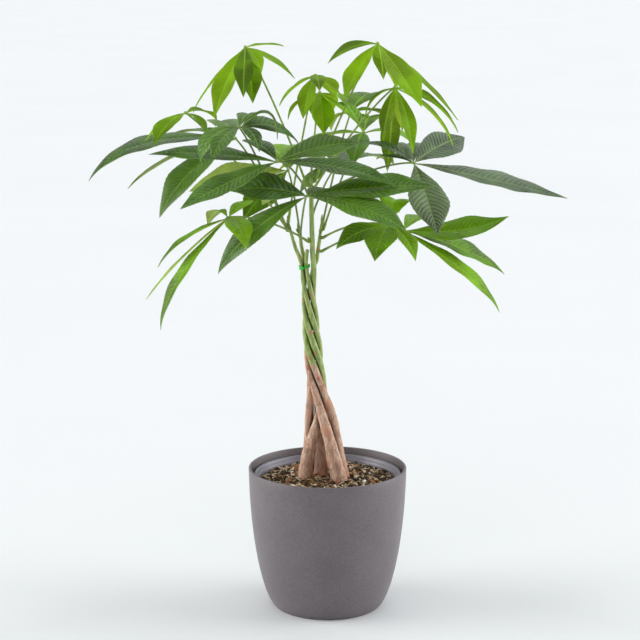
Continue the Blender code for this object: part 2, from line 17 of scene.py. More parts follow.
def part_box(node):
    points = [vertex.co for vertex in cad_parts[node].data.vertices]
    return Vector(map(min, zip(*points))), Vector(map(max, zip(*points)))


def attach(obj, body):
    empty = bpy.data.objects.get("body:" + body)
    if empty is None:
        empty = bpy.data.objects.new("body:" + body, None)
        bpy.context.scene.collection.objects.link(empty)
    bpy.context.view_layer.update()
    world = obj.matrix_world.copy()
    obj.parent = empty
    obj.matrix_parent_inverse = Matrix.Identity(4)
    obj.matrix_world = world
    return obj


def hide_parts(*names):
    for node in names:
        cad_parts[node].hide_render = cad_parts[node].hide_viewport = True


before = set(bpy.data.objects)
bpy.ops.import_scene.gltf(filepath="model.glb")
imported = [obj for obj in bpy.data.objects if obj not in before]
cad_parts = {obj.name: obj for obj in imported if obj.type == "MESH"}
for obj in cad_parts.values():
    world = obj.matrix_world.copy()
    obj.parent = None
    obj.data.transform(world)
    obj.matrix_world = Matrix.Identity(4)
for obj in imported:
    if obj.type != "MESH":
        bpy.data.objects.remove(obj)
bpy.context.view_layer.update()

bl_info = {
    "name": "Potted money tree",
    "version": (1, 0, 0),
    "blender": (4, 5, 0),
    "location": "3D View > Sidebar > Money tree",
    "description": "Dresses a money tree frame with canes, leaves, potting mix, pots and a studio",
    "category": "Add Mesh",
}

TURN = math.tau
WELD = 0.000001
Z_AXIS = Vector((0, 0, 1))

# Pots. The rim and the foot come from the frame.
_, POT_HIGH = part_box("cover_pot")
LINER_LOW, LINER_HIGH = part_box("grow_pot")
SOIL_LOW, SOIL_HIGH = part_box("soil")
POT_FOOT_RADIUS = 0.067
POT_FLOOR = 0.006
POT_FOOT_RECESS = 0.0012
# How far in from the foot's edge its ring ends, at the recess and where it stands
POT_FOOT_RING = (0.0080, 0.0068)
POT_BELLY_SPREAD = 0.017
POT_BELLY_HEIGHT = 0.013
POT_SHOULDER_SHARE = 0.51
POT_SIDES = 160
POT_WALL_STEPS = 28
# How far each point of the rounded lip lies in from the wall's face and below the rim
POT_LIP = ((0.0002, 0.0005), (0.0006, 0.0001), (0.0011, 0))
LINER_NECK_RADIUS = 0.0872
LINER_FOOT_RADIUS = 0.0620
LINER_SKIRT = 0.162
LINER_WALL = 0.0016
LINER_SIDES = 144
LINER_FOOT_BEVEL = 0.002
LINER_LEDGE = 0.0077
# The lip's lower edge: how far in from its face and above the skirt's foot
LINER_LIP_FOOT = ((0.0010, 0), (0.0003, 0.0004), (0, 0.0015))
# The rolled lip and the ledge inside it: how far in from the lip's face and below its top
LINER_LIP = (
    (0, 0.0014),
    (0.0004, 0.0005),
    (0.0013, 0),
    (0.0034, 0),
    (0.0042, 0.0004),
    (0.0047, 0.0013),
    (0.0053, 0.0040),
    (0.0066, 0.0045),
    (0.0071, 0.0052),
)
SOIL_EDGE_HEIGHT = 0.160

# Trunk: five canes that stand on legs of their own, and above them are twisted into one rope
STEM_BASE_HEIGHT = 0.160
ROPE_TOP_HEIGHT = 0.404
# Height, sideways lean, stem radius and ring radius of the twisted part
TRUNK = [
    (0.228, -0.006, 0.0063, 0.0147),
    (0.279, -0.0125, 0.0045, 0.0088),
    (0.343, -0.019, 0.0040, 0.0078),
    (0.404, -0.0235, 0.0030, 0.0060),
]
# Twist in degrees per metre: slow among the legs, fast in the green wood
SLOW_TWIST = 160
FAST_TWIST = 1900
TWIST_STARTS = 0.240
TWIST_FULL = 0.300

# Legs: where the stems stand below the rope, at even steps of height up to where the rope takes over
LEG_STEP = 0.020
LEGS_END = 0.280
Stem = namedtuple("Stem", "name bearing legs route")
# Each stem: its name, its bearing in the ring before the twist, in degrees, then rows of millimetres.
# Legs: x, y and radius at each step. Route: x, y, z and radius above the rope, up to the cut or growing end.
STEM_TABLE = [
    ("stem_main", 290, [
        (16, -21.2, 10),
        (12.3, -20.3, 9.6),
        (7.3, -18.6, 8.6),
        (2.2, -16.2, 7.5),
        (-3.9, -13.2, 6.3),
        (-9.7, -10.8, 5.2),
    ], [
        (-17.2, -1, 421, 3.2),
        (-17.3, -3.5, 438, 3.4),
        (-18.8, -4, 460, 3.2),
        (-19.6, -4, 490, 3),
        (-20.2, -4, 520, 2.8),
        (-20.6, -4, 549, 2.2),
    ]),
    ("stem_cut", 218, [
        (-25.5, 15.5, 8.4),
        (-24.5, 13.7, 8),
        (-24, 11.7, 7.2),
        (-23.3, 8.8, 6.4),
        (-22.8, 5.2, 5.7),
        (-22.3, 0, 5),
    ], [
        (-23.6, -4.2, 421, 2.7),
        (-26.6, -2.4, 438, 2.4),
        (-26.3, -4, 452, 2.5),
        (-25, -6, 460, 2.3),
    ]),
    ("stem_left", 146, [
        (-29.5, -11, 9.2),
        (-27.5, -9.5, 8.6),
        (-24.3, -7.6, 7.8),
        (-19, -5.6, 6.9),
        (-13, -3.6, 5.8),
        (-11.5, 3, 5),
    ], [
        (-30.5, -3, 421, 2.6),
        (-31.8, -0.5, 438, 2.4),
        (-35, -2, 450, 2.6),
        (-39.5, -2, 461, 2.3),
        (-43.5, -1.5, 474, 2),
        (-49, 0, 494, 1.5),
    ]),
    ("stem_back", 74, [
        (-8, 5, 9.2),
        (-8.2, 5.6, 8.6),
        (-7.6, 6.8, 7.5),
        (-5.6, 8.8, 6.6),
        (-3, 10.7, 5.8),
        (-1.8, 10.2, 5),
    ], [
        (-28.8, 2.8, 421, 2.6),
        (-27.6, 3, 438, 2.4),
        (-30, 4.5, 450, 2.6),
        (-32.5, 5.5, 462, 2.3),
        (-34, 6, 474, 2.1),
        (-36.5, 6.5, 486, 1.6),
    ]),
    ("stem_right", 2, [
        (19, 1, 9),
        (17, -0.7, 8.4),
        (13.8, -2.2, 7.4),
        (10.5, -3, 6.6),
        (7.6, -3, 5.9),
        (2.2, -3.2, 5.2),
    ], [
        (-20.5, 5.6, 421, 2.7),
        (-17.2, 4.8, 438, 2.6),
        (-13.6, 4.5, 446, 2.6),
        (-11.8, 5.2, 460, 2.4),
        (-10, 5.5, 472, 2.2),
        (-7.5, 4.5, 494, 1.2),
    ]),
]

Leaf = namedtuple("Leaf", "name age root hub leaflets")
Leaflet = namedtuple("Leaflet", "tip width arch hook roll")
# Each leaf: its name and age, then in millimetres the root, where the stalk leaves its stem, and the hub,
# which is the knuckle. Each leaflet: x, y and z of its tip from the hub, its width, and its arch, the rise
# of its back over a straight line; then hook, extra droop of the tip, and roll about its rib in degrees.
LEAF_TABLE = [
    ("leaf_01", "young", (-25.5, -5, 540), (-100, -10, 710), [
        (-65, 5, -80, 18, 4, 0.3),
        (-35, -65, -80, 30, 7),
        (0, -75, -55, 24, 6),
        (10, -40, -65, 28, 6),
        (20, -20, -30, 19, 5, 0, 8),
        (60, 20, -40, 24, 4, 0, 22),
        (45, 100, -5, 14, 3),
    ]),
    ("leaf_02", "young", (-48.5, 0.5, 497), (-15, 0, 675), [
        (-45, 25, -40, 24, 6, 0, 16),
        (-15, -35, -50, 23, 6),
        (5, -55, -15, 20, 6),
        (35, 15, -30, 26, 2, 0, 14),
        (25, 75, -35, 26, 6),
    ]),
    ("leaf_03", "young", (-20.6, -4, 550.5), (-10, 50, 650), [
        (-40, 10, -35, 22, 8),
        (5, -25, -50, 29, 6),
        (-10, -25, -25, 22, 6),
        (55, -15, -45, 22, 2),
        (15, 35, -30, 26, 8),
    ]),
    ("leaf_04", "young", (-16, -2.5, 545), (60, -20, 715), [
        (-60, 10, -25, 26, 7, 0, 24),
        (-40, -40, -65, 33, 6),
        (50, -80, -70, 40, 3),
        (100, 20, -95, 24, 3, 0.5, 18),
        (25, 15, -60, 24, 2),
        (10, 80, -50, 22, 6),
    ]),
    ("leaf_05", "young", (-16.2, -6, 538), (80, -55, 665), [
        (-35, 0, -40, 20, 10),
        (-15, -40, -60, 18, 6),
        (-5, 105, -115, 24, 2),
        (10, 20, -55, 16, 2),
        (20, -45, -75, 19, 9),
        (80, 50, -60, 34, 12, 0, 28),
        (70, -10, -70, 26, 10),
    ]),
    ("leaf_06", "young", (-52.6, -1, 490), (-170, -60, 635), [
        (-50, 10, -35, 20, 4),
        (-35, -40, -35, 30, 7),
        (25, -10, -25, 22, 6),
        (35, 50, -15, 24, 8, 0, 12),
        (-30, 60, -30, 20, 4),
    ]),
    ("leaf_07", "mature", (-50, -4, 484), (-105, -85, 620), [
        (-45, -20, -40, 36, 14, 0, 14),
        (-30, -55, -35, 25, 10, 0, 8),
        (25, -40, -25, 21, 10),
        (15, 70, 0, 26, 12),
        (45, 5, -15, 26, 24, 0.2),
        (70, 45, -25, 44, 12, 0, 24),
    ]),
    ("leaf_08", "mature", (-50.5, 4, 486), (-115, 30, 595), [
        (-180, -30, -50, 48, 16, 1, 12),
        (-90, -70, -90, 56, 13, 0, 4),
        (-85, 80, -5, 40, 8),
        (-140, 50, -70, 34, 12),
        (-30, 100, 5, 44, 12),
    ]),
    ("leaf_09", "mature", (-24, -8, 530), (-60, -90, 580), [
        (-155, 30, 5, 48, 4, 0.3, 14),
        (-110, -85, -45, 48, 3, 0, 10),
        (-45, 85, 15, 30, 8),
        (140, -40, -25, 48, 7, 0.3, 14),
        (100, 60, 15, 46, 6, 0, 24),
    ]),
    ("leaf_10", "mature", (-34, 2, 476), (-25, -100, 540), [
        (-90, 5, 5, 54, 6, 0, 30),
        (-105, -20, -90, 42, 9, 0.4, 28),
        (150, -30, 15, 50, 4, 0.2, 26),
        (115, -80, -30, 52, 9, 0, 14),
        (-55, 65, -20, 44, 8),
        (40, 70, -10, 42, 8),
    ]),
    ("leaf_11", "mature", (-16, -2, 525), (105, -20, 570), [
        (190, 10, -45, 48, 2, -0.2, 18),
        (25, -90, -75, 50, 3),
        (70, 110, 20, 46, 5, 0, 30),
        (-65, 30, 20, 36, 8),
        (-45, 40, 0, 34, 6),
        (-5, 140, 5, 36, 10),
    ]),
    ("leaf_12", "mid", (-7.6, 5, 456.5), (95, 25, 480), [
        (130, -15, 20, 46, -9, 0, 28),
        (130, 25, -60, 44, 7, 0.3, 22),
        (120, -25, -100, 32, 6, 1.4, 15),
        (40, 85, 0, 34, 10),
    ]),
    ("leaf_13", "mid", (-6, 3, 474), (75, -40, 495), [
        (-20, -80, -30, 40, 10),
        (30, -50, -35, 25, 10),
        (-65, -20, -25, 38, 8, 0, 22),
        (15, 80, 5, 42, 24, 0, 10),
    ]),
    ("leaf_14", "mid", (-24.3, -6.5, 471), (-120, -70, 510), [
        (-85, -5, -60, 34, 7, 0.5),
        (-105, 50, -110, 22, 5, 0, 14),
        (-80, -40, -130, 27, 9, 1),
        (-30, 90, -25, 21, 14),
        (25, -85, -25, 32, 12),
        (30, 40, 15, 24, 4),
    ]),
    ("leaf_15", "mid", (-5.2, 5.5, 484), (45, 50, 600), [
        (-25, 20, 40, 24, 2),
        (65, -20, -15, 42, 10),
        (-15, -100, -30, 30, 8),
        (-80, 45, -20, 38, 6),
        (15, 100, 5, 38, 12),
    ]),
    ("leaf_16", "mid", (-34.5, 9.8, 478), (-50, 70, 550), [
        (-125, -15, -25, 50, 4, 0, -50),
        (-55, -55, -55, 46, 4, 0, 20),
        (-35, 110, 15, 44, 14),
        (35, 90, 15, 44, 14),
    ]),
    ("leaf_17", "mid", (-8, 8.5, 482), (30, 110, 620), [
        (35, 70, 15, 46, 10),
        (-25, 10, -25, 40, 8),
        (-35, 70, -5, 36, 10),
        (0, 120, 5, 40, 12),
        (60, 50, -20, 38, 10),
    ]),
    ("leaf_18", "mature", (-19.8, 1, 500), (15, 130, 550), [
        (-80, 60, -15, 46, 10),
        (-10, 140, -10, 52, 14),
        (75, 90, -10, 50, 12),
        (60, -10, -45, 44, 8),
        (-50, -20, -35, 42, 8),
    ]),
]


def metres(rows):
    """Rows of millimetres as rows of metres."""
    return [[number / 1000 for number in row] for row in rows]


def leaflet_from(x, y, z, width, arch, hook=0, roll=0):
    """A leaflet from its row of the table."""
    tip, (width, arch) = metres(((x, y, z), (width, arch)))
    return Leaflet(tip, width, arch, hook, roll)


STEMS = [Stem(name, bearing, metres(legs), metres(route)) for name, bearing, legs, route in STEM_TABLE]
LEAVES = [
    Leaf(name, age, *metres((root, hub)), [leaflet_from(*row) for row in rows])
    for name, age, root, hub, rows in LEAF_TABLE
]


# Curves and shared shapes


def ease(low, high, value):
    """Smooth ramp from 0 at low to 1 at high."""
    share = min(max((value - low) / (high - low), 0), 1)
    return share * share * (3 - 2 * share)


def compass(bearing):
    """The level direction at a bearing."""
    return Vector((math.cos(bearing), math.sin(bearing), 0))


def shaded(colour, share):
    """A colour made darker or lighter."""
    return [min(c * share, 1) for c in colour]


def bezier(start, pull_start, pull_end, end, step):
    """Point on a cubic curve, step running from 0 to 1."""
    rest = 1 - step
    near = start * rest ** 3 + pull_start * (3 * rest * rest * step)
    return near + pull_end * (3 * rest * step * step) + end * step ** 3


def bezier_slope(start, pull_start, pull_end, end, step):
    """Unit direction of the same curve."""
    rest = 1 - step
    slope = (pull_start - start) * (rest * rest)
    slope += (pull_end - pull_start) * (2 * rest * step)
    slope += (end - pull_end) * (step * step)
    return slope.normalized()


def through(knots, spacing):
    """A smooth line through knots of any length, each a Vector, with a point about every spacing."""
    line = []
    for i in range(len(knots) - 1):
        before, start, end = knots[max(i - 1, 0)], knots[i], knots[i + 1]
        after = knots[min(i + 2, len(knots) - 1)]
        parts = max(round((end - start).length / spacing), 1)
        for k in range(parts):
            line.append(bezier(start, start + (end - before) / 6, end - (after - start) / 6, end, k / parts))
    line.append(knots[-1])
    return line


def sweep(bm, path, sizes, sides, rolls=None):
    """Draws a closed bar along a path and returns its rings of vertices, foot to tip.

    Each size is a radius or a pair of half widths, and rolls turn each ring about the path.
    """
    ring = bmesh.ops.create_circle(bm, cap_ends=True, segments=sides, radius=1)["verts"]
    cap = ring[0].link_faces[0]
    last = Matrix.Identity(4)
    heading, aim = None, None
    rings = []
    for i, spot in enumerate(path):
        before, after = path[max(i - 1, 0)], path[min(i + 1, len(path) - 1)]
        new_heading = (after - before).normalized()
        if heading is None:
            aim = new_heading.to_track_quat("Z", "Y")
        else:
            aim = heading.rotation_difference(new_heading) @ aim
        heading = new_heading
        if i:
            made = bmesh.ops.extrude_face_region(bm, geom=[cap])["geom"]
            cap = next(item for item in made if isinstance(item, bmesh.types.BMFace))
            ring = list(cap.verts)
        wide, deep = sizes[i] if isinstance(sizes[i], tuple) else (sizes[i], sizes[i])
        frame_now = Matrix.Translation(spot) @ aim.to_matrix().to_4x4()
        frame_now @= Matrix.Rotation(rolls[i] if rolls else 0, 4, "Z")
        frame_now @= Matrix.Diagonal((wide, deep, 1, 1))
        bmesh.ops.transform(bm, matrix=frame_now @ last.inverted(), verts=ring)
        last = frame_now
        rings.append(ring)
    return rings


def turned(outline, sides):
    """Spins an outline of (radius, height) points into a closed shell."""
    bm = bmesh.new()
    points = [bm.verts.new((radius, 0, height)) for radius, height in outline]
    edges = [bm.edges.new(pair) for pair in zip(points, points[1:])]
    bmesh.ops.spin(
        bm, geom=points + edges, cent=(0, 0, 0), axis=(0, 0, 1), angle=TURN, steps=sides, use_merge=True,
    )
    bmesh.ops.remove_doubles(bm, verts=bm.verts, dist=WELD)
    bmesh.ops.recalc_face_normals(bm, faces=bm.faces)
    return bm


def pour(bm, whole):
    """Turns one bmesh's faces outwards, adds it to another and lets it go."""
    bmesh.ops.recalc_face_normals(bm, faces=bm.faces)
    mesh = bpy.data.meshes.new("part")
    bm.to_mesh(mesh)
    bm.free()
    whole.from_mesh(mesh)
    bpy.data.meshes.remove(mesh)


def piece(bm, name, coats, stands_for=(), smooth_angle=40, outward=True):
    """Turns a bmesh into a piece of the object: shaded, coated, riding on the root body."""
    if outward:
        bmesh.ops.recalc_face_normals(bm, faces=bm.faces)
    mesh = bpy.data.meshes.new(name)
    bm.to_mesh(mesh)
    bm.free()
    mesh.shade_smooth()
    mesh.set_sharp_from_angle(angle=math.radians(smooth_angle))
    for coat in coats:
        mesh.materials.append(coat)
    made = bpy.data.objects.new(name, mesh)
    bpy.context.scene.collection.objects.link(made)
    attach(made, "root")
    if stands_for:
        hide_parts(*stands_for)


# Mixing of finishes


class Finish:
    """A material under way: it makes shader nodes, sets their sockets and joins them."""

    def __init__(self, name):
        self.coat = bpy.data.materials.new(name)
        self.coat.use_nodes = True
        self.tree = self.coat.node_tree
        self.shader = self.tree.nodes["Principled BSDF"]
        self.output = self.tree.nodes["Material Output"]

    def feed(self, node, sockets):
        """Sets or joins a node's sockets."""
        for key, value in sockets.items():
            if isinstance(value, bpy.types.NodeSocket):
                self.tree.links.new(value, node.inputs[key])
            else:
                node.inputs[key].default_value = value

    def add(self, kind, sockets, **settings):
        """Makes a node, with its settings and sockets."""
        node = self.tree.nodes.new("ShaderNode" + kind)
        for key, value in settings.items():
            setattr(node, key, value)
        self.feed(node, sockets)
        return node

    def place(self, stretch=(1, 1, 1)):
        """Where a point lies on the object, stretched along each axis."""
        spot = self.add("TexCoord", {}).outputs["Object"]
        return self.add("Mapping", {"Vector": spot, "Scale": stretch}).outputs["Vector"]

    def mark(self, name):
        """A number that the mesh carries."""
        return self.add("Attribute", {}, attribute_name=name).outputs["Fac"]

    def grain(self, place, scale, detail=2.0, rough=0.5, skew=0.0):
        """Cloudy noise, from 0 to 1."""
        sockets = {"Vector": place, "Scale": scale, "Detail": detail, "Roughness": rough, "Distortion": skew}
        return self.add("TexNoise", sockets).outputs["Fac"]

    def cells(self, place, scale):
        """Distance to the edge between two cells."""
        made = self.add("TexVoronoi", {"Vector": place, "Scale": scale}, feature="DISTANCE_TO_EDGE")
        return made.outputs["Distance"]

    def maths(self, operation, first, second=0.0):
        """One step of arithmetic."""
        return self.add("Math", {0: first, 1: second}, operation=operation).outputs[0]

    def times(self, first, second):
        return self.maths("MULTIPLY", first, second)

    def plus(self, first, second):
        return self.maths("ADD", first, second)

    def minus(self, first, second):
        return self.maths("SUBTRACT", first, second)

    def off_middle(self, share):
        """How far a share is from a half."""
        return self.maths("ABSOLUTE", self.minus(share, 0.5))

    def span(self, value, low, high, to_low=0.0, to_high=1.0):
        """Eases value's range from low to high into a new one."""
        sockets = {"Value": value, "From Min": low, "From Max": high, "To Min": to_low, "To Max": to_high}
        return self.add("MapRange", sockets, interpolation_type="SMOOTHSTEP").outputs["Result"]

    def blend(self, share, first, second):
        """Mixes two colours."""
        made = self.add("Mix", {}, data_type="RGBA")
        self.feed(made, {0: share, 6: full(first), 7: full(second)})
        return made.outputs[2]

    def relief(self, height, depth, strength):
        """Bump of a depth in metres."""
        sockets = {"Height": height, "Distance": depth, "Strength": strength}
        return self.add("Bump", sockets).outputs["Normal"]

    def done(self, **sockets):
        """Sets the shader's own sockets, named with _ for each blank."""
        self.feed(self.shader, {key.replace("_", " "): value for key, value in sockets.items()})
        return self.coat


def full(colour):
    """A colour with its alpha, or a socket as it is."""
    return colour if isinstance(colour, bpy.types.NodeSocket) else (*colour[:3], 1)


# Settings


def colour_setting(name, description, default):
    return FloatVectorProperty(
        name=name, description=description, default=default, subtype="COLOR", min=0, max=1,
    )


def length_setting(name, description, default):
    return FloatProperty(name=name, description=description, default=default, min=0, unit="LENGTH")


def share_setting(name, description, default):
    return FloatProperty(name=name, description=description, default=default, min=0, max=1, subtype="FACTOR")


def strength_setting(name, description, default):
    return FloatProperty(name=name, description=description, default=default, min=0)


def count_setting(name, description, default):
    return IntProperty(name=name, description=description, default=default, min=0)


class PotSettings(bpy.types.PropertyGroup):
    """The cover pot and the grow pot inside it."""

    wall: length_setting("Wall", "Thickness of the cover pot's wall", 0.0032)
    shell: colour_setting("Shell", "Colour of the cover pot", (0.152, 0.132, 0.142))
    speck: colour_setting("Speck", "Colour of the pale specks in the shell", (0.33, 0.31, 0.32))
    pit: colour_setting("Pit", "Colour of the dark specks in the shell", (0.040, 0.032, 0.037))
    roughness: share_setting("Roughness", "Roughness of the shell", 0.44)
    liner: colour_setting("Grow pot", "Colour of the grow pot", (0.225, 0.212, 0.265))


class SoilSettings(bpy.types.PropertyGroup):
    """The potting mix."""

    crumbs: count_setting("Crumbs", "Number of small crumbs on the bed", 1100)
    chips: count_setting("Chips", "Number of bark chips on the bed", 620)
    grit: count_setting("Perlite", "Number of white perlite grains", 150)
    fibres: count_setting("Fibres", "Number of loose fibres", 420)
    curls: count_setting("Curls", "Number of curled roots in the mound by the stems", 260)
    peat: colour_setting("Peat", "Darkest colour of the mix", (0.020, 0.012, 0.008))
    bark: colour_setting("Bark", "Middle colour of the mix", (0.225, 0.135, 0.072))
    straw: colour_setting("Straw", "Palest colour of the chips", (0.920, 0.780, 0.550))


class CaneSettings(bpy.types.PropertyGroup):
    """Bark and green wood of the five canes."""

    bark: colour_setting("Bark", "Colour of the old bark", (0.520, 0.300, 0.205))
    crevice: colour_setting("Crevice", "Colour of its cracks", (0.270, 0.140, 0.092))
    flake: colour_setting("Flake", "Colour of its pale flecks", (0.800, 0.620, 0.490))
    blush: colour_setting("Blush", "Colour of its reddish patches", (0.600, 0.270, 0.165))
    sap: colour_setting("Green wood", "Colour of the green bark", (0.470, 0.560, 0.190))
    moss: colour_setting("Dark green", "Colour of the green bark's dark streaks", (0.215, 0.315, 0.080))
    scar: colour_setting("Scar", "Colour of the leaf scars", (0.520, 0.150, 0.100))
    relief: share_setting("Relief", "Depth of the bark's lumps as a share of a cane's radius", 0.16)
    # Painted shade: the dark colour laid into the clefts between canes
    cleft_shade: colour_setting("Grime", "Colour of the dirt in the clefts between canes", (0.060, 0.038, 0.020))
    flare: share_setting("Flare", "Spread of each foot at the soil as a share of its radius", 0.22)


class TieSettings(bpy.types.PropertyGroup):
    """The plastic tie round the canes."""

    plastic: colour_setting("Plastic", "Colour of the tie", (0.035, 0.780, 0.080))
    # Painted shade: the darker colour in the tie's folds
    fold: colour_setting("Fold", "Colour in the tie's folds", (0.012, 0.330, 0.030))


class LeafSettings(bpy.types.PropertyGroup):
    """Blades and stalks; young leaves are yellow-green, and old ones dark."""

    sheet: length_setting("Blade", "Thickness of a blade", 0.00042)
    young: colour_setting("Young", "Upper face of a young blade", (0.250, 0.410, 0.004))
    young_back: colour_setting("Young back", "Under face of a young blade", (0.360, 0.520, 0.045))
    mid: colour_setting("Grown", "Upper face of a grown blade", (0.180, 0.400, 0.003))
    mid_back: colour_setting("Grown back", "Under face of a grown blade", (0.380, 0.500, 0.120))
    mature: colour_setting("Old", "Upper face of an old blade", (0.060, 0.172, 0.002))
    mature_back: colour_setting("Old back", "Under face of an old blade", (0.300, 0.400, 0.130))
    # Painted sheen: the greyish upper face below, and its under face, colour the one leaf with a grey sheen
    weathered: colour_setting("Weathered", "Upper face of a leathery old blade", (0.100, 0.170, 0.074))
    weathered_back: colour_setting("Weathered back", "Its under face", (0.300, 0.380, 0.150))
    stalk: colour_setting("Stalk", "Colour of the stalks", (0.300, 0.440, 0.070))


class StudioSettings(bpy.types.PropertyGroup):
    """Camera, floor and light."""

    eye: FloatVectorProperty(
        name="Camera",
        description="Where the camera stands",
        default=(-0.0095, -2.4, 0.85),
        subtype="TRANSLATION",
    )
    tilt: FloatProperty(
        name="Tilt", description="How far the camera looks down", default=math.radians(11.3), subtype="ANGLE",
    )
    lens: FloatProperty(name="Lens", description="Focal length", default=110.08, min=10, unit="CAMERA")
    floor: colour_setting("Floor", "Colour of the floor", (0.830, 0.857, 0.872))
    sky: strength_setting("Sky", "Strength of the sky's light", 0.30)
    left: strength_setting("Left", "Strength of the light from the left", 3.1)
    right: strength_setting("Right", "Strength of the light from the right", 3.0)
    back: strength_setting("Back", "Strength of the light from behind", 0.80)
    top: strength_setting("Top", "Strength of the light from overhead", 0.65)
    front: share_setting("Front", "Strength of the sky in front, as a share of the rest", 0.35)


class MoneyTreeSettings(bpy.types.PropertyGroup):
    """All settings of the potted money tree."""

    pot: PointerProperty(type=PotSettings)
    soil: PointerProperty(type=SoilSettings)
    cane: PointerProperty(type=CaneSettings)
    tie: PointerProperty(type=TieSettings)
    leaf: PointerProperty(type=LeafSettings)
    studio: PointerProperty(type=StudioSettings)


# Pots


def wall_curve(inset, floor):
    """The cover pot's side from foot to rim, as (radius, height) points."""
    rim_radius, height = POT_HIGH.x, POT_HIGH.z
    foot = Vector((POT_FOOT_RADIUS - inset * 0.3, floor))
    belly = Vector((POT_FOOT_RADIUS + POT_BELLY_SPREAD - inset, POT_BELLY_HEIGHT + floor * 0.8))
    shoulder = Vector((rim_radius - 0.001 - inset, height * POT_SHOULDER_SHARE))
    rim = Vector((rim_radius - inset, height - 0.001))
    return [bezier(foot, belly, shoulder, rim, i / POT_WALL_STEPS) for i in range(POT_WALL_STEPS + 1)]


SPECKS_PER_METRE = 640


def shell_finish(settings):
    """Moulded plastic with pale and dark specks and a fine grain."""
    mix = Finish("pot_shell")
    place = mix.place()
    cloud = mix.grain(place, 22, 3)
    specks = mix.add("TexVoronoi", {"Vector": place, "Scale": SPECKS_PER_METRE})
    kind = mix.add("SeparateColor", {"Color": specks.outputs["Color"]})
    dot = mix.span(specks.outputs["Distance"], 0.42, 0.20)
    pale = mix.times(dot, mix.span(kind.outputs["Red"], 0.72, 0.84))
    dark = mix.times(dot, mix.span(kind.outputs["Green"], 0.72, 0.86))
    tint = mix.blend(mix.span(cloud, 0.3, 0.7), settings.shell, shaded(settings.shell, 0.88))
    tint = mix.blend(mix.times(pale, 0.50), tint, settings.speck)
    tint = mix.blend(mix.times(dark, 0.60), tint, settings.pit)
    fine = mix.grain(place, 900, 3, 0.6)
    tint = mix.blend(mix.span(fine, 0.35, 0.75, 0.0, 0.22), tint, settings.speck)
    bump = mix.relief(fine, 0.00016, 0.65)
    rough = mix.span(fine, 0.3, 0.7, settings.roughness - 0.08, settings.roughness + 0.06)
    return mix.done(Base_Color=tint, Roughness=rough, Normal=bump, IOR=1.4)


def pot_shell(settings):
    """Cover pot: a turned wall with a rounded lip and a foot ring."""
    rim_radius, height, wall = POT_HIGH.x, POT_HIGH.z, settings.wall
    outline = [
        (0, POT_FOOT_RECESS),
        (POT_FOOT_RADIUS - POT_FOOT_RING[0], POT_FOOT_RECESS),
        (POT_FOOT_RADIUS - POT_FOOT_RING[1], 0),
        *[tuple(point) for point in wall_curve(0, 0)],
        *[(rim_radius - inset, height - drop) for inset, drop in POT_LIP],
        *[(rim_radius - wall + inset, height - drop) for inset, drop in reversed(POT_LIP)],
        *[tuple(point) for point in reversed(wall_curve(wall, POT_FLOOR))],
        (0, POT_FLOOR),
    ]
    coat = shell_finish(settings)
    piece(turned(outline, POT_SIDES), "pot_shell", [coat], ["cover_pot"], outward=False)


def liner_finish(settings):
    """Smooth plastic with faint scuffs and a dusting of soil low down."""
    mix = Finish("inner_pot")
    place = mix.place()
    haze = mix.grain(place, 35, 4)
    scuff = mix.grain(mix.place((1, 1, 14)), 120, 2)
    tint = mix.blend(mix.span(haze, 0.3, 0.7), settings.liner, shaded(settings.liner, 0.84))
    tint = mix.blend(mix.span(scuff, 0.60, 0.75, 0, 0.25), tint, (0.46, 0.45, 0.50))
    height = mix.add("SeparateXYZ", {"Vector": place}).outputs["Z"]
    low = mix.span(height, SOIL_EDGE_HEIGHT + 0.008, SOIL_EDGE_HEIGHT)
    dust = mix.times(low, mix.span(mix.grain(place, 260, 3), 0.42, 0.62))
    tint = mix.blend(dust, tint, (0.09, 0.055, 0.03))
    rough = mix.span(haze, 0.3, 0.7, 0.34, 0.46)
    bump = mix.relief(mix.grain(place, 500), 0.0001, 0.3)
    return mix.done(Base_Color=tint, Roughness=rough, Normal=bump, Specular_IOR_Level=0.5)


def inner_pot(settings):
    """Grow pot: a straight taper, a rolled lip with an inner ledge, and a plain floor."""
    lip, top, foot = LINER_HIGH.x, LINER_HIGH.z, LINER_LOW.z
    floor = foot + LINER_WALL
    outline = [
        (0, foot),
        (LINER_FOOT_RADIUS - LINER_FOOT_BEVEL, foot),
        (LINER_FOOT_RADIUS, foot + LINER_FOOT_BEVEL),
        (LINER_NECK_RADIUS, LINER_SKIRT),
        *[(lip - inset, LINER_SKIRT + rise) for inset, rise in LINER_LIP_FOOT],
        *[(lip - inset, top - drop) for inset, drop in LINER_LIP],
        (lip - LINER_LEDGE, LINER_SKIRT),
        (LINER_FOOT_RADIUS - LINER_WALL, floor),
        (0, floor),
    ]
    coat = liner_finish(settings)
    piece(turned(outline, LINER_SIDES), "inner_pot", [coat], ["grow_pot"], outward=False)


# Potting mix


SOIL_FOOT_RADIUS = 0.0600
SOIL_SIDES = 120
SOIL_RINGS = 36
# How far the bed's skin lies under the level that the loose bits are strewn at
BED_SINK = 0.0016
# Unevenness of the bed: waves in a metre, a place in the noise, and height
SOIL_WAVES = ((45, 1, 0.0016), (130, 4, 0.0008))
# Least and most: half size of a crumb, length and thickness of a chip, half size of a perlite grain
CRUMB_SIZES = (0.0008, 0.0024)
CHIP_LENGTHS = (0.004, 0.013)
CHIP_THICKNESSES = (0.0008, 0.0020)
GRIT_SIZES = (0.0008, 0.0021)
FIBRE_STEPS = 7
# Least and most: radius of any fibre, then length and bend in radians of a loose one and of a curled root
FIBRE_RADII = (0.00018, 0.00050)
FIBRE_LENGTHS = (0.007, 0.020)
FIBRE_BENDS = (-1.6, 1.6)
CURL_LENGTHS = (0.009, 0.020)
CURL_BENDS = (2.5, 5.5)
# The heap of curled roots in front of the canes
MOUND_PLACE = Vector((-0.016, -0.030, 0))
MOUND_REACH = 0.019
MOUND_RISE = 0.0045
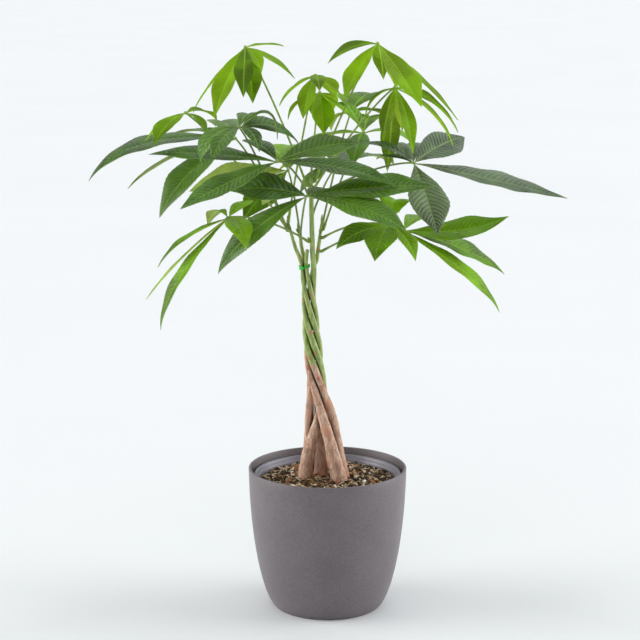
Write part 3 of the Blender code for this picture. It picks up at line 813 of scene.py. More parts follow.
# The largest perlite grains: x, y and radius
FIRST_STONES = [
    (-0.0439, 0.0067, 0.0036),
    (0.0459, -0.0285, 0.0042),
    (0.0092, -0.0481, 0.0026),
    (0.0520, 0.0120, 0.0030),
]


def soil_level(spot):
    """Height of the bed under a spot: crowned, uneven, and heaped in front of the canes."""
    share = min(spot.xy.length / SOIL_HIGH.x, 1)
    level = SOIL_EDGE_HEIGHT + (SOIL_HIGH.z - SOIL_EDGE_HEIGHT) * (1 - share ** 4)
    uneven = 0
    for waves, seed, rise in SOIL_WAVES:
        uneven += noise.noise(Vector((spot.x * waves, spot.y * waves, seed))) * rise
    heap = MOUND_RISE * (1 - ease(0, MOUND_REACH, (spot.xy - MOUND_PLACE.xy).length))
    return level + uneven + heap


def soil_spot(chance, feet, heap=0.0025):
    """A free place on the bed, outside the feet of the canes."""
    while True:
        reach = (SOIL_HIGH.x - 0.0025) * math.sqrt(chance.random())
        bearing = chance.uniform(0, TURN)
        spot = Vector((reach * math.cos(bearing), reach * math.sin(bearing), 0))
        if all((spot.xy - foot.xy).length > size for foot, size in feet):
            spot.z = soil_level(spot) + chance.uniform(-0.0005, heap)
            return spot


def lie(chance, spot, shape, tilt):
    """Matrix that stretches a unit shape and lays it on a spot, tipped by up to an angle in degrees."""
    turn = Matrix.Rotation(chance.uniform(0, TURN), 4, "Z")
    turn @= Matrix.Rotation(math.radians(chance.uniform(-tilt, tilt)), 4, "X")
    turn @= Matrix.Rotation(math.radians(chance.uniform(-tilt, tilt)), 4, "Y")
    return Matrix.Translation(spot) @ turn @ Matrix.Diagonal((*shape, 1))


def stain(verts, layer, tone):
    """Gives a loose bit its tone, from peat to straw."""
    for vert in verts:
        vert[layer] = tone


def jog(verts, chance, amount):
    """Moves each corner of a loose bit by up to a length."""
    for vert in verts:
        vert.co += Vector([chance.uniform(-amount, amount) for _ in range(3)])


def soil_finish(settings, name, pale, clumped=False):
    """Peat to bark to straw by each grain's tone, or by clumps on the bed, with a fibrous grain."""
    mix = Finish(name)
    place = mix.place()
    grit = mix.grain(place, 420, 4, 0.65)
    tone = mix.grain(place, 160, 4, 0.6) if clumped else mix.mark("tone")
    ramp = mix.add("ValToRGB", {"Fac": tone})
    stops = ramp.color_ramp.elements
    stops[0].position, stops[0].color = 0.0, full(settings.peat)
    stops[1].position, stops[1].color = 1.0, full(pale)
    for where, colour in (
        (0.30, shaded(settings.bark, 0.45)),
        (0.55, settings.bark),
        (0.72, (0.40, 0.17, 0.06)),
        (0.86, settings.straw),
    ):
        made = stops.new(where)
        made.color = full(colour)
    tint = mix.blend(mix.span(grit, 0.30, 0.75), ramp.outputs["Color"], (0.02, 0.013, 0.008))
    tint = mix.blend(mix.span(grit, 0.62, 0.42, 0.0, 1.0), tint, ramp.outputs["Color"])
    bump = mix.relief(grit, 0.0006, 0.8)
    return mix.done(Base_Color=tint, Roughness=0.88, Normal=bump, Specular_IOR_Level=0.25)


def soil_bed(coat):
    """The body of the mix, with an uneven top."""
    floor, edge = SOIL_LOW.z, SOIL_HIGH.x
    outline = [(0, floor), (SOIL_FOOT_RADIUS, floor), (edge, SOIL_EDGE_HEIGHT - 0.004)]
    outline += [(edge * (1 - i / SOIL_RINGS), SOIL_EDGE_HEIGHT) for i in range(SOIL_RINGS + 1)]
    bm = turned(outline, SOIL_SIDES)
    for vert in bm.verts:
        if vert.co.z > SOIL_EDGE_HEIGHT - 0.001:
            vert.co.z = soil_level(vert.co) - BED_SINK
    piece(bm, "soil_bed", [coat], ["soil"], outward=False)


def loose_mix(settings, coat, feet):
    """Crumbs and flat bark chips, in one piece."""
    chance = random.Random(11)
    bm = bmesh.new()
    layer = bm.verts.layers.float.new("tone")
    for _ in range(settings.crumbs):
        size = chance.uniform(*CRUMB_SIZES)
        shape = [size * chance.uniform(0.5, 1.2) for _ in range(3)]
        spot = lie(chance, soil_spot(chance, feet), shape, 180)
        verts = bmesh.ops.create_icosphere(bm, subdivisions=1, radius=1, matrix=spot)["verts"]
        stain(verts, layer, chance.betavariate(1.1, 1.5))
        jog(verts, chance, size * 0.28)
    for _ in range(settings.chips):
        length = chance.uniform(*CHIP_LENGTHS)
        shape = (length, length * chance.uniform(0.22, 0.55), chance.uniform(*CHIP_THICKNESSES))
        spot = lie(chance, soil_spot(chance, feet, 0.0035), shape, 32)
        verts = bmesh.ops.create_cube(bm, size=1, matrix=spot)["verts"]
        stain(verts, layer, chance.betavariate(0.85, 1.0))
        jog(verts, chance, length * 0.10)
    piece(bm, "bark_chips", [coat], smooth_angle=20)


def perlite(settings, feet):
    """White grains, a few of them large."""
    chance = random.Random(12)
    mix = Finish("perlite")
    place = mix.place()
    spots = mix.grain(place, 700, 3, 0.6)
    tint = mix.blend(mix.span(spots, 0.40, 0.62), (0.60, 0.54, 0.42), (0.92, 0.89, 0.80))
    bump = mix.relief(spots, 0.0004, 0.7)
    coat = mix.done(Base_Color=tint, Roughness=0.8, Normal=bump)
    bm = bmesh.new()
    grains = []
    for x, y, size in FIRST_STONES:
        spot = Vector((x, y, 0))
        spot.z = soil_level(spot) + 0.002
        grains.append((spot, size))
    for _ in range(settings.grit):
        grains.append((soil_spot(chance, feet), chance.uniform(*GRIT_SIZES)))
    for spot, size in grains:
        shape = [size * chance.uniform(0.75, 1.15) for _ in range(3)]
        matrix = lie(chance, spot, shape, 180)
        verts = bmesh.ops.create_icosphere(bm, subdivisions=2, radius=1, matrix=matrix)["verts"]
        jog(verts, chance, size * 0.13)
    piece(bm, "perlite", [coat], smooth_angle=30)


def fibres(settings, coat, feet):
    """Loose coir fibres all over, and curled roots in the mound."""
    chance = random.Random(13)
    bm = bmesh.new()
    layer = bm.verts.layers.float.new("tone")
    for i in range(settings.fibres + settings.curls):
        curled = i >= settings.fibres
        if curled:
            away = MOUND_REACH * 0.8 * math.sqrt(chance.random())
            bearing = chance.uniform(0, TURN)
            spot = MOUND_PLACE + compass(bearing) * away
            spot.z = soil_level(spot) + chance.uniform(0, 0.002)
        else:
            spot = soil_spot(chance, feet, 0.003)
        length = chance.uniform(*(CURL_LENGTHS if curled else FIBRE_LENGTHS))
        bend = chance.uniform(*(CURL_BENDS if curled else FIBRE_BENDS))
        heading = chance.uniform(0, TURN)
        arch = chance.uniform(0.0005, 0.0030)
        path = []
        for k in range(FIBRE_STEPS):
            path.append(spot + Vector((0, 0, arch * math.sin(math.pi * k / (FIBRE_STEPS - 1)))))
            heading += bend / FIBRE_STEPS
            spot = spot + compass(heading) * (length / FIBRE_STEPS)
        thick = chance.uniform(*FIBRE_RADII)
        tone = chance.betavariate(2, 2.4) if curled else chance.uniform(0.72, 1.0)
        for ring in sweep(bm, path, [thick] * FIBRE_STEPS, 3):
            stain(ring, layer, tone)
    piece(bm, "fibres", [coat], smooth_angle=60)


# Canes


CANE_FOOT = 0.150
CANE_KNOT_GAP = 0.0125
CANE_RING_GAP = 0.00125
CANE_SIDES = 26
# How far from the next cane the painted shade in the clefts is darkest, and how far it shows above the legs
# and among them; then the heights between which one reach turns to the other
CLEFT_DEPTH = 0.0004
CLEFT_REACH = 0.0036
LEG_CLEFT_REACH = 0.0070
CLEFT_CHANGE = (0.230, 0.290)
FLARE_TOP = 0.186
# Heights between which the reddish foot of a cane fades
FOOT_FADE = (0.162, 0.176)
# What a cane's mesh carries for its finish: old wood, leaf scar, reddish foot, and painted shade in the cleft
CANE_MARKS = ("wood", "scar", "foot", "cleft")
# Lumps of the bark: how many in a metre, and their share of the relief
CANE_LUMPS = ((75, 0.55), (190, 0.30))
SCAR_RISE = 0.00035
# Heights where each cane turns from bark to green wood
GREENING = {
    "stem_main": (0.316, 0.345),
    "stem_cut": (0.300, 0.335),
    "stem_left": (0.300, 0.335),
    "stem_back": (0.276, 0.294),
    "stem_right": (0.292, 0.332),
}
# Leaf scars: cane, height, bearing in degrees and size
SCARS = [
    ("stem_cut", 0.4025, -125, 0.0030),
    ("stem_back", 0.3974, -100, 0.0020),
    ("stem_back", 0.3568, -60, 0.0036),
    ("stem_right", 0.3248, -110, 0.0032),
    ("stem_main", 0.3120, -110, 0.0032),
    ("stem_back", 0.3312, -95, 0.0026),
    ("stem_right", 0.2979, -95, 0.0032),
    ("stem_right", 0.2901, -30, 0.0026),
    ("stem_right", 0.2824, -97, 0.0020),
    ("stem_right", 0.4604, -100, 0.0030),
    ("stem_left", 0.4520, -60, 0.0024),
    ("stem_main", 0.4716, -150, 0.0022),
]
HIDDEN_SCARS = 7


def trunk_at(height):
    """Lean, cane radius and ring radius at a height, smooth between the listed ones."""
    height = min(max(height, TRUNK[0][0]), TRUNK[-1][0])
    slopes = []
    for i in range(len(TRUNK)):
        low, high = TRUNK[max(i - 1, 0)], TRUNK[min(i + 1, len(TRUNK) - 1)]
        slopes.append([(high[k] - low[k]) / (high[0] - low[0]) for k in (1, 2, 3)])
    for i, (low, high) in enumerate(zip(TRUNK, TRUNK[1:])):
        if height <= high[0]:
            break
    span = high[0] - low[0]
    share = (height - low[0]) / span
    values = []
    for k in (0, 1, 2):
        start, end = low[k + 1], high[k + 1]
        pull_start = start + slopes[i][k] * span / 3
        pull_end = end - slopes[i + 1][k] * span / 3
        values.append(bezier(start, pull_start, pull_end, end, share))
    return values


def twist_at(height):
    """Turn of the ring since the soil, in degrees; it runs clockwise seen from above."""
    steps = 60
    span = (height - STEM_BASE_HEIGHT) / steps
    turn = 0
    for i in range(steps):
        level = STEM_BASE_HEIGHT + span * (i + 0.5)
        turn += (SLOW_TWIST + (FAST_TWIST - SLOW_TWIST) * ease(TWIST_STARTS, TWIST_FULL, level)) * span
    return turn


def ring_at(stem, height):
    """Place and radius of a cane in the ring that the rope is, as x, y and radius."""
    lean, radius, ring = trunk_at(height)
    bearing = math.radians(stem.bearing - twist_at(height))
    return Vector((lean + ring * math.cos(bearing), ring * math.sin(bearing), radius))


def stem_at(stem, height):
    """Centre and radius of a cane inside the trunk: on its leg below, in the ring above."""
    if height >= LEGS_END:
        place = ring_at(stem, height)
    else:
        knots = [Vector(leg) for leg in stem.legs]
        knots = [knots[1], *knots, ring_at(stem, LEGS_END), ring_at(stem, LEGS_END + LEG_STEP)]
        travel = (max(height, STEM_BASE_HEIGHT) - STEM_BASE_HEIGHT) / LEG_STEP
        i = min(int(travel), len(stem.legs) - 1)
        before, start, end, after = knots[i:i + 4]
        place = bezier(start, start + (end - before) / 6, end - (after - start) / 6, end, travel - i)
    return Vector((place.x, place.y, height)), place.z


def cane_line(stem):
    """Fine points along a cane, each x, y, z and radius, from below the soil to the top end."""
    count = round((ROPE_TOP_HEIGHT - CANE_FOOT) / CANE_KNOT_GAP)
    knots = []
    for i in range(count + 1):
        centre, radius = stem_at(stem, CANE_FOOT + (ROPE_TOP_HEIGHT - CANE_FOOT) * i / count)
        knots.append(Vector((*centre, radius)))
    knots += [Vector(knot) for knot in stem.route]
    return through(knots, CANE_RING_GAP)


def cane_scars(stem, line, chance):
    """Places and sizes of a cane's leaf scars: those listed, and more round its back."""
    wanted = [(height, bearing, size) for name, height, bearing, size in SCARS if name == stem.name]
    low = GREENING[stem.name][0]
    top = line[-1].z - 0.02
    for i in range(HIDDEN_SCARS):
        height = low + (top - low) * (i + chance.uniform(0.2, 0.8)) / HIDDEN_SCARS
        wanted.append((height, chance.uniform(10, 170), chance.uniform(0.0018, 0.0028)))
    found = []
    for height, bearing, size in wanted:
        spot = min(line, key=lambda point: abs(point.z - height))
        out = compass(math.radians(bearing))
        found.append((spot.xyz + out * spot.w, size))
    return found


def cane_finish(settings):
    """Cracked bark that gives way to streaked green wood, with reddish leaf scars and painted shade in the
    clefts between canes.
    """
    mix = Finish("cane_bark")
    place = mix.place()
    upright = mix.place((1, 1, 0.22))
    level = mix.place((1, 1, 3.0))
    wood, scar, foot, cleft = [mix.mark(name) for name in CANE_MARKS]

    lumps = mix.grain(place, 90, 5, 0.6)
    streak = mix.grain(upright, 260, 5, 0.65, 0.4)
    crack = mix.cells(upright, 240)
    fleck = mix.grain(level, 210, 3, 0.6)
    bark = mix.blend(mix.span(lumps, 0.18, 0.46), settings.crevice, settings.bark)
    bark = mix.blend(mix.span(streak, 0.40, 0.74, 0, 0.75), bark, settings.flake)
    bark = mix.blend(mix.span(streak, 0.44, 0.30, 0, 0.28), bark, settings.crevice)
    bark = mix.blend(mix.span(crack, 0.07, 0.0, 0, 0.55), bark, settings.crevice)
    bark = mix.blend(mix.span(fleck, 0.63, 0.69, 0, 0.85), bark, settings.flake)
    redness = mix.span(mix.grain(place, 46, 3), 0.50, 0.68, 0, 0.65)
    bark = mix.blend(redness, bark, settings.blush)
    bark = mix.blend(mix.times(foot, mix.span(lumps, 0.35, 0.6)), bark, settings.blush)

    vein = mix.grain(upright, 330, 4, 0.6)
    sap = mix.blend(mix.span(vein, 0.36, 0.68), settings.moss, settings.sap)
    sap = mix.blend(mix.span(mix.grain(place, 30, 2), 0.42, 0.66, 0, 0.35), sap, settings.moss)
    sap = mix.blend(mix.span(fleck, 0.64, 0.72, 0, 0.45), sap, (0.50, 0.56, 0.28))
    sap = mix.blend(mix.span(mix.grain(place, 150, 3), 0.63, 0.72, 0, 0.5), sap, settings.bark)

    patch = mix.plus(wood, mix.span(mix.grain(upright, 120, 4, 0.6), 0.25, 0.75, -0.42, 0.42))
    tint = mix.blend(mix.span(patch, 0.40, 0.60), sap, bark)
    # Painted shade: darkens bark and green wood in the clefts between canes
    tint = mix.blend(mix.span(cleft, 0.10, 1.0, 0, 0.94), tint, settings.cleft_shade)
    ring = mix.times(mix.span(scar, 0.10, 0.55), mix.span(scar, 1.0, 0.75, 0.45, 1))
    tint = mix.blend(mix.times(ring, 0.9), tint, settings.scar)
    rough = mix.span(mix.plus(wood, streak), 0.3, 1.4, 0.42, 0.80)
    height = mix.plus(mix.times(streak, 0.7), mix.times(lumps, 0.6))
    height = mix.plus(height, mix.span(crack, 0, 0.06, 0, 0.35))
    bump = mix.relief(height, 0.0012, mix.span(wood, 0, 1, 0.25, 0.9))
    return mix.done(Base_Color=tint, Roughness=rough, Normal=bump, Specular_IOR_Level=0.4)


def cane_tree(lines):
    """Search tree over the points of some canes, with the radius at each point."""
    spots = [spot for line in lines for spot in line]
    tree = kdtree.KDTree(len(spots))
    for i, spot in enumerate(spots):
        tree.insert(spot.xyz, i)
    tree.balance()
    return tree, [spot.w for spot in spots]


def gap_to(others, place):
    """How far a place is from the nearest of the other canes' sides."""
    tree, sizes = others
    _, i, reach = tree.find(place)
    return reach - sizes[i]


def cane(stem, line, others, settings, coat):
    """One cane: a swept bar with lumps, a spreading foot and raised leaf scars."""
    chance = random.Random(stem.name)
    scars = cane_scars(stem, line, chance)
    low, high = GREENING[stem.name]
    bm = bmesh.new()
    layers = [bm.verts.layers.float.new(name) for name in CANE_MARKS]
    rings = sweep(bm, [spot.xyz for spot in line], [spot.w for spot in line], CANE_SIDES)
    for ring, spot in zip(rings, line):
        wood = 1 - ease(low, high, spot.z)
        foot = 1 - ease(STEM_BASE_HEIGHT, FLARE_TOP, spot.z)
        reach = LEG_CLEFT_REACH + (CLEFT_REACH - LEG_CLEFT_REACH) * ease(*CLEFT_CHANGE, spot.z)
        near = [(place, size) for place, size in scars if abs(place.z - spot.z) < size * 2]
        for vert in ring:
            out = (vert.co - spot.xyz).normalized()
            around = vert.co.copy()
            swell = sum(noise.noise(around * often) * share for often, share in CANE_LUMPS)
            swell += noise.noise(Vector((around.x * 420, around.y * 420, around.z * 60))) * 0.30
            swell *= settings.relief * (0.35 + 0.65 * wood)
            lobe = 0.5 + noise.noise(Vector((out.x * 1.7, out.y * 1.7, spot.x * 90)))
            swell += settings.flare * foot * lobe
            vert.co = spot.xyz + out * (spot.w * (1 + swell))
            mark = 0
            for place, size in near:
                mark = max(mark, 1 - ease(size * 0.35, size, (vert.co - place).length))
            vert.co += out * (mark * SCAR_RISE)
            stain = 1 - ease(*FOOT_FADE, vert.co.z)
            # Painted shade: how deep this point lies in a cleft between canes
            shading = 1 - ease(CLEFT_DEPTH, reach, gap_to(others, vert.co))
            for layer, value in zip(layers, (wood, mark, stain, shading)):
                vert[layer] = value
    piece(bm, stem.name.replace("stem", "cane"), [coat], [stem.name], smooth_angle=60)


# Base, reach and radius of each bud
BUDS = [
    ((-0.0076, 0.0048, 0.4930), (0.0008, -0.0004, 0.0110), 0.0015),
    ((-0.0100, 0.0040, 0.4780), (0.0040, -0.0020, 0.0060), 0.0014),
    ((-0.0360, 0.0040, 0.4800), (-0.0035, -0.0010, 0.0060), 0.0014),
    ((-0.0206, -0.0040, 0.5480), (0.0004, -0.0003, 0.0120), 0.0018),
    ((-0.0490, 0.0000, 0.4930), (-0.0012, 0.0004, 0.0090), 0.0013),
    ((-0.0365, 0.0065, 0.4850), (-0.0006, 0.0006, 0.0090), 0.0014),
    ((-0.0222, -0.0052, 0.4720), (-0.0030, -0.0018, 0.0050), 0.0013),
    ((-0.0172, -0.0030, 0.5240), (0.0030, -0.0010, 0.0060), 0.0013),
]


def cane_buds(coat):
    """Side buds and stipules at the upper nodes and the growing tips."""
    bm = bmesh.new()
    for place, tip, radius in BUDS:
        base, lean = Vector(place), Vector(tip)
        path = [base + lean * share for share in (0, 0.2, 0.45, 0.7, 0.88, 1.0)]
        sizes = [radius * wide for wide in (0.7, 1.0, 0.95, 0.65, 0.32, 0.04)]
        sweep(bm, path, sizes, 10)
    piece(bm, "buds", [coat], smooth_angle=60)


# Tie


TIE_STEPS = 56
TIE_HALF_THICKNESS = 0.00034
TIE_HALF_HEIGHT = 0.0025
# Bearing of the band's first end and how far round it goes, and its lean, in degrees
TIE_START = -62
TIE_TURN = 356
TIE_LEAN = -8
# The two twisted ends: where each points, and its twist in radians
TIE_ENDS = ((Vector((0.0062, -0.0016, 0.0042)), 3.5), (Vector((0.0052, -0.0018, -0.0020)), -3.0))
TIE_END_STEPS = 22


def tie_finish(settings):
    """Shiny plastic, with painted shade in its folds and painted highlights on their crests."""
    mix = Finish("tie_plastic")
    crease = mix.grain(mix.place((1, 1, 2.5)), 520, 3, 0.6, 0.8)
    # Painted shade in the folds
    tint = mix.blend(mix.span(crease, 0.36, 0.60), settings.fold, settings.plastic)
    # Painted highlights on the folds' crests
    tint = mix.blend(mix.span(crease, 0.62, 0.75, 0, 0.5), tint, (0.25, 0.85, 0.28))
    rough = mix.span(crease, 0.3, 0.7, 0.20, 0.34)
    bump = mix.relief(crease, 0.0005, 0.7)
    return mix.done(Base_Color=tint, Roughness=rough, Normal=bump, Specular_IOR_Level=0.6)


def tie_band(settings):
    """A creased band round three canes, closed by a twist of its two ends."""
    chance = random.Random(5)
    low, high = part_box("stem_tie")
    centre = (low + high) / 2
    radius = (high.y - low.y) / 2 - 0.0005
    path, sizes, rolls = [], [], []
    for i in range(TIE_STEPS + 1):
        share = i / TIE_STEPS
        bearing = math.radians(TIE_START + TIE_TURN * share)
        pull = ease(0.80, 1.0, share) + 1 - ease(0.0, 0.20, share)
        out = compass(bearing) * (radius - 0.0002 * pull)
        lean = out.x * math.tan(math.radians(TIE_LEAN))
        spot = centre + out + Vector((0, 0, -lean + 0.0004 * math.sin(7 * bearing)))
        path.append(spot)
        half = TIE_HALF_HEIGHT - 0.0015 * pull + chance.uniform(-0.0002, 0.0002)
        sizes.append((TIE_HALF_THICKNESS, half))
        rolls.append(0.35 * math.sin(5 * bearing) * (1 - pull) + 2.2 * pull * math.sin(3 * bearing))
    bm = bmesh.new()
    sweep(bm, path, sizes, 8, rolls)
    knot = path[0].lerp(path[-1], 0.5)
    start = knot - Vector((0.0020, 0.0002, 0.0))
    for end, twist in TIE_ENDS:
        path, sizes, rolls = [], [], []
        for k in range(TIE_END_STEPS + 1):
            share = k / TIE_END_STEPS
            path.append(start + end * share + Z_AXIS * (0.0010 * math.sin(math.pi * share)))
            sizes.append((0.00028, 0.0011 - 0.0004 * share))
            rolls.append(twist * share)
        sweep(bm, path, sizes, 8, rolls)
    piece(bm, "tie_band", [tie_finish(settings)], ["stem_tie"], smooth_angle=50)


# Leaves


# How blades of each age are shaped: fold and doming of the halves, quilting between veins,
# waves along the margin, twist in degrees, narrowing at the tip, and the gap between veins.
Growth = namedtuple("Growth", "fold dome quilt wave twist pinch pitch")
GROWTH = {
    "young": Growth(0.20, 0.02, 0.00010, 0.05, 6, 0.32, 0.0052),
    "mid": Growth(0.13, 0.05, 0.00048, 0.05, 6, 0.30, 0.0058),
    "mature": Growth(0.09, 0.06, 0.00085, 0.035, 5, 0.30, 0.0064),
}
BLADE_ROOT_OFFSET = 0.0010
ROWS_PER_VEIN = 4
LEAST_VEINS = 8
# Share of a half blade at each column of its grid: the rib's middle, its edge, and on to the margin
COLUMN_STEPS = (0, 0, 0.11, 0.28, 0.47, 0.67, 0.86, 1.0)
HALF_COLUMNS = len(COLUMN_STEPS) - 1
# Share of a blade's map that its rib takes up, then half its width and its depth at the blade's foot
RIB_MAP_SHARE = 0.08
RIB_HALF = 0.00085
RIB_DEPTH = 0.0011
STALK_RADIUS = 0.0013
STALK_STEPS = 28
STALK_BOW = 0.012
KNUCKLE_RADIUS = 0.0024


def blade_width(share, pinch):
    """Width of a blade along its length: widest past the middle, drawn out to a point."""
    if not 0 < share < 1:
        return 0
    return math.sin(math.pi * share ** 1.2) ** 1.05 * (1 - pinch * ease(0.55, 0.92, share))


def blade_curve(hub, leaflet):
    """The four control points of a leaflet's rib, and its level sideways direction."""
    reach = Vector(leaflet.tip)
    along = reach.normalized()
    up = (Z_AXIS - along * along.z).normalized()
    rise = up * (leaflet.arch * 4 / 3)
    start = hub + along * BLADE_ROOT_OFFSET
    points = (start, hub + reach * 0.30 + rise, hub + reach * 0.75 + rise * (1 + leaflet.hook), hub + reach)
    return points, along.cross(up)


def blade_point(shape, column, step):
    """Where a grid point of a blade goes, the way its upper face looks there, and its share of the length."""
    growth, leaflet, curve, level, chance = shape
    half = abs(column)
    share = COLUMN_STEPS[half]
    hand = 1 if column >= 0 else -1
    length = Vector(leaflet.tip).length
    lead = min(0.40 * leaflet.width / length, 0.2)
    along_share = step + lead * share ** 1.2 * 4 * step * (1 - step)
    spot = bezier(*curve, along_share)
    heading = bezier_slope(*curve, along_share)
    roll = math.radians(leaflet.roll) * (1 if leaflet.tip[0] < 0 else -1)
    roll += math.radians(growth.twist * chance["twist"]) * (along_share - 0.35)
    up = level.cross(heading)
    side = level * math.cos(roll) + up * math.sin(roll)
    top = side.cross(heading)

    veins = chance["veins"]
    reach = leaflet.width / 2 * blade_width(along_share, growth.pinch) * (1 + chance["lopsided"] * hand)
    reach *= 1 + 0.014 * math.cos(TURN * step * veins) * (growth.quilt > 0.0002)
    rib = min(RIB_HALF * (1.15 - 0.75 * along_share), max(reach, 0.0006) * 0.9) * (along_share < 1)
    across = 0 if half == 0 else rib + max(reach - rib, 0) * share
    if reach <= rib:
        across = min(across, rib)
    beat = abs(math.sin(math.pi * step * veins)) ** 0.6
    quilt = growth.quilt * beat * min(share * 6, 1) * (1 - share ** 4) * ease(0.02, 0.12, step)
    quilt *= ease(1.0, 0.85, step) if step < 1 else 0
    wave = growth.wave * reach * share ** 3
    phase = chance["phase_right"] if hand > 0 else chance["phase_left"]
    wave *= math.sin(TURN * chance["waves"] * along_share + phase)
    lift = growth.fold * across + growth.dome * reach * math.sin(math.pi * share) + quilt + wave
    return spot + side * (across * hand) + top * lift, top, along_share


def blade(leaf, leaflet, number, sheet):
    """One leaflet: a grid whose rows follow the side veins, with a rib under it and a closed edge."""
    growth = GROWTH[leaf.age]
    seeded = random.Random(f"{leaf.name} {number}")
    length = Vector(leaflet.tip).length
    veins = max(round(length / growth.pitch), LEAST_VEINS)
    chance = {
        "veins": veins,
        "twist": seeded.uniform(-1, 1),
        "lopsided": seeded.uniform(-0.05, 0.05),
        "waves": length * seeded.uniform(17, 26),
        "phase_left": seeded.uniform(0, TURN),
        "phase_right": seeded.uniform(0, TURN),
    }
    tone = seeded.random()
    curve, level = blade_curve(Vector(leaf.hub), leaflet)
    shape = (growth, leaflet, curve, level, chance)
    rows = veins * ROWS_PER_VEIN

    bm = bmesh.new()
    top_layer = bm.verts.layers.float_vector.new("top")
    rib_layer = bm.verts.layers.float.new("rib")
    tone_layer = bm.verts.layers.float.new("tone")
    along_layer = bm.verts.layers.float.new("along")
    bmesh.ops.create_grid(bm, x_segments=HALF_COLUMNS * 2, y_segments=rows, size=1)
    map_layer = bm.loops.layers.uv.new("blade")
    places = {}
    for vert in bm.verts:
        column = round(vert.co.x * HALF_COLUMNS)
        places[vert] = (column, round((vert.co.y + 1) / 2 * rows) / rows)
    for face in bm.faces:
        for loop in face.loops:
            column, step = places[loop.vert]
            half = abs(column)
            wide = 0 if half == 0 else RIB_MAP_SHARE + (1 - RIB_MAP_SHARE) * COLUMN_STEPS[half]
            loop[map_layer].uv = (0.5 + math.copysign(wide / 2, column), step * veins)
    for vert, (column, step) in places.items():
        vert.co, top, along_share = blade_point(shape, column, step)
        vert[top_layer] = top
        vert[rib_layer] = (1 if column == 0 else 0.15 if abs(column) == 1 else 0) * (1 - 0.7 * along_share)
        vert[tone_layer] = tone
        vert[along_layer] = along_share
    bmesh.ops.remove_doubles(bm, verts=bm.verts, dist=WELD * 10)

    skin = list(bm.faces)
    made = bmesh.ops.extrude_face_region(bm, geom=skin, use_keep_orig=True)["geom"]
    under = {item for item in made if isinstance(item, bmesh.types.BMVert)}
    for vert in under:
        vert.co -= vert[top_layer] * (sheet + RIB_DEPTH * vert[rib_layer])
    for face in bm.faces:
        face.material_index = 1 if all(vert in under for vert in face.verts) else 0
    bm.verts.layers.float_vector.remove(bm.verts.layers.float_vector["top"])
    bm.verts.layers.float.remove(bm.verts.layers.float["rib"])
    return bm


def stalk(leaf, wood):
    """The stalk, swollen where it leaves its cane and below the knuckle, and the knuckle itself."""
    root, hub = Vector(leaf.root), Vector(leaf.hub)
    reach = hub - root
    rise = Vector((0, 0, STALK_BOW))
    curve = (root, root + reach * 0.35 + rise, root + reach * 0.75 + rise, hub)
    grip = min(wood, key=lambda spot: (spot.xyz - root).length).xyz
    path, sizes = [grip, grip.lerp(root, 0.55)], [STALK_RADIUS * 1.9, STALK_RADIUS * 1.75]
    for i in range(STALK_STEPS + 1):
        step = i / STALK_STEPS
        path.append(bezier(*curve, step))
        swell = 1 + 0.55 * (1 - ease(0, 0.10, step)) + 0.25 * ease(0.93, 1, step)
        swell -= 0.12 * ease(0.2, 0.8, step)
        sizes.append(STALK_RADIUS * swell)
    bm = bmesh.new()
    along_layer = bm.verts.layers.float.new("along")
    sweep(bm, path, sizes, 10)
    knuckle = Matrix.Translation(hub) @ Matrix.Diagonal((1, 1, 0.8, 1))
    bmesh.ops.create_icosphere(bm, subdivisions=2, radius=KNUCKLE_RADIUS, matrix=knuckle)
    for vert in bm.verts:
        vert[along_layer] = min((vert.co - root).length / reach.length, 1)
    for face in bm.faces:
        face.material_index = 2
    return bm


# How each side of a blade is finished: share of light let through, strength of the side veins,
# strength of the swellings between them and of the netting, roughness, and gloss. On the upper face the veins
# and netting are darkened as painted shade in their grooves; the swellings are lightened as a painted
# highlight and also strengthen the bump.
Skin = namedtuple("Skin", "through veins swell net rough gloss")
SKINS = {
    "young": Skin(0.68, 0.16, 0.16, 0.08, 0.30, 0.42),
    "mid": Skin(0.38, 0.30, 0.40, 0.14, 0.28, 0.50),
    "mature": Skin(0.17, 0.42, 0.60, 0.20, 0.24, 0.75),
    # Painted sheen: skins of the one leaf whose greyish colour stands in for a sheen
    "weathered": Skin(0.14, 0.75, 0.90, 0.24, 0.30, 0.70),
    "young_back": Skin(0.40, 0.35, 0.10, 0.14, 0.50, 0.15),
    "mid_back": Skin(0.30, 0.45, 0.15, 0.22, 0.55, 0.15),
    "mature_back": Skin(0.20, 0.55, 0.20, 0.28, 0.58, 0.15),
    "weathered_back": Skin(0.18, 0.55, 0.20, 0.28, 0.58, 0.15),
}
# The leaf whose blades are coloured greyish, a painted sheen
GREY_SHEEN_LEAF = "leaf_11"
# How light the stalks are at each age
STALK_SHADES = {"young": 1.15, "mid": 0.9, "mature": 0.7, "weathered": 0.7}


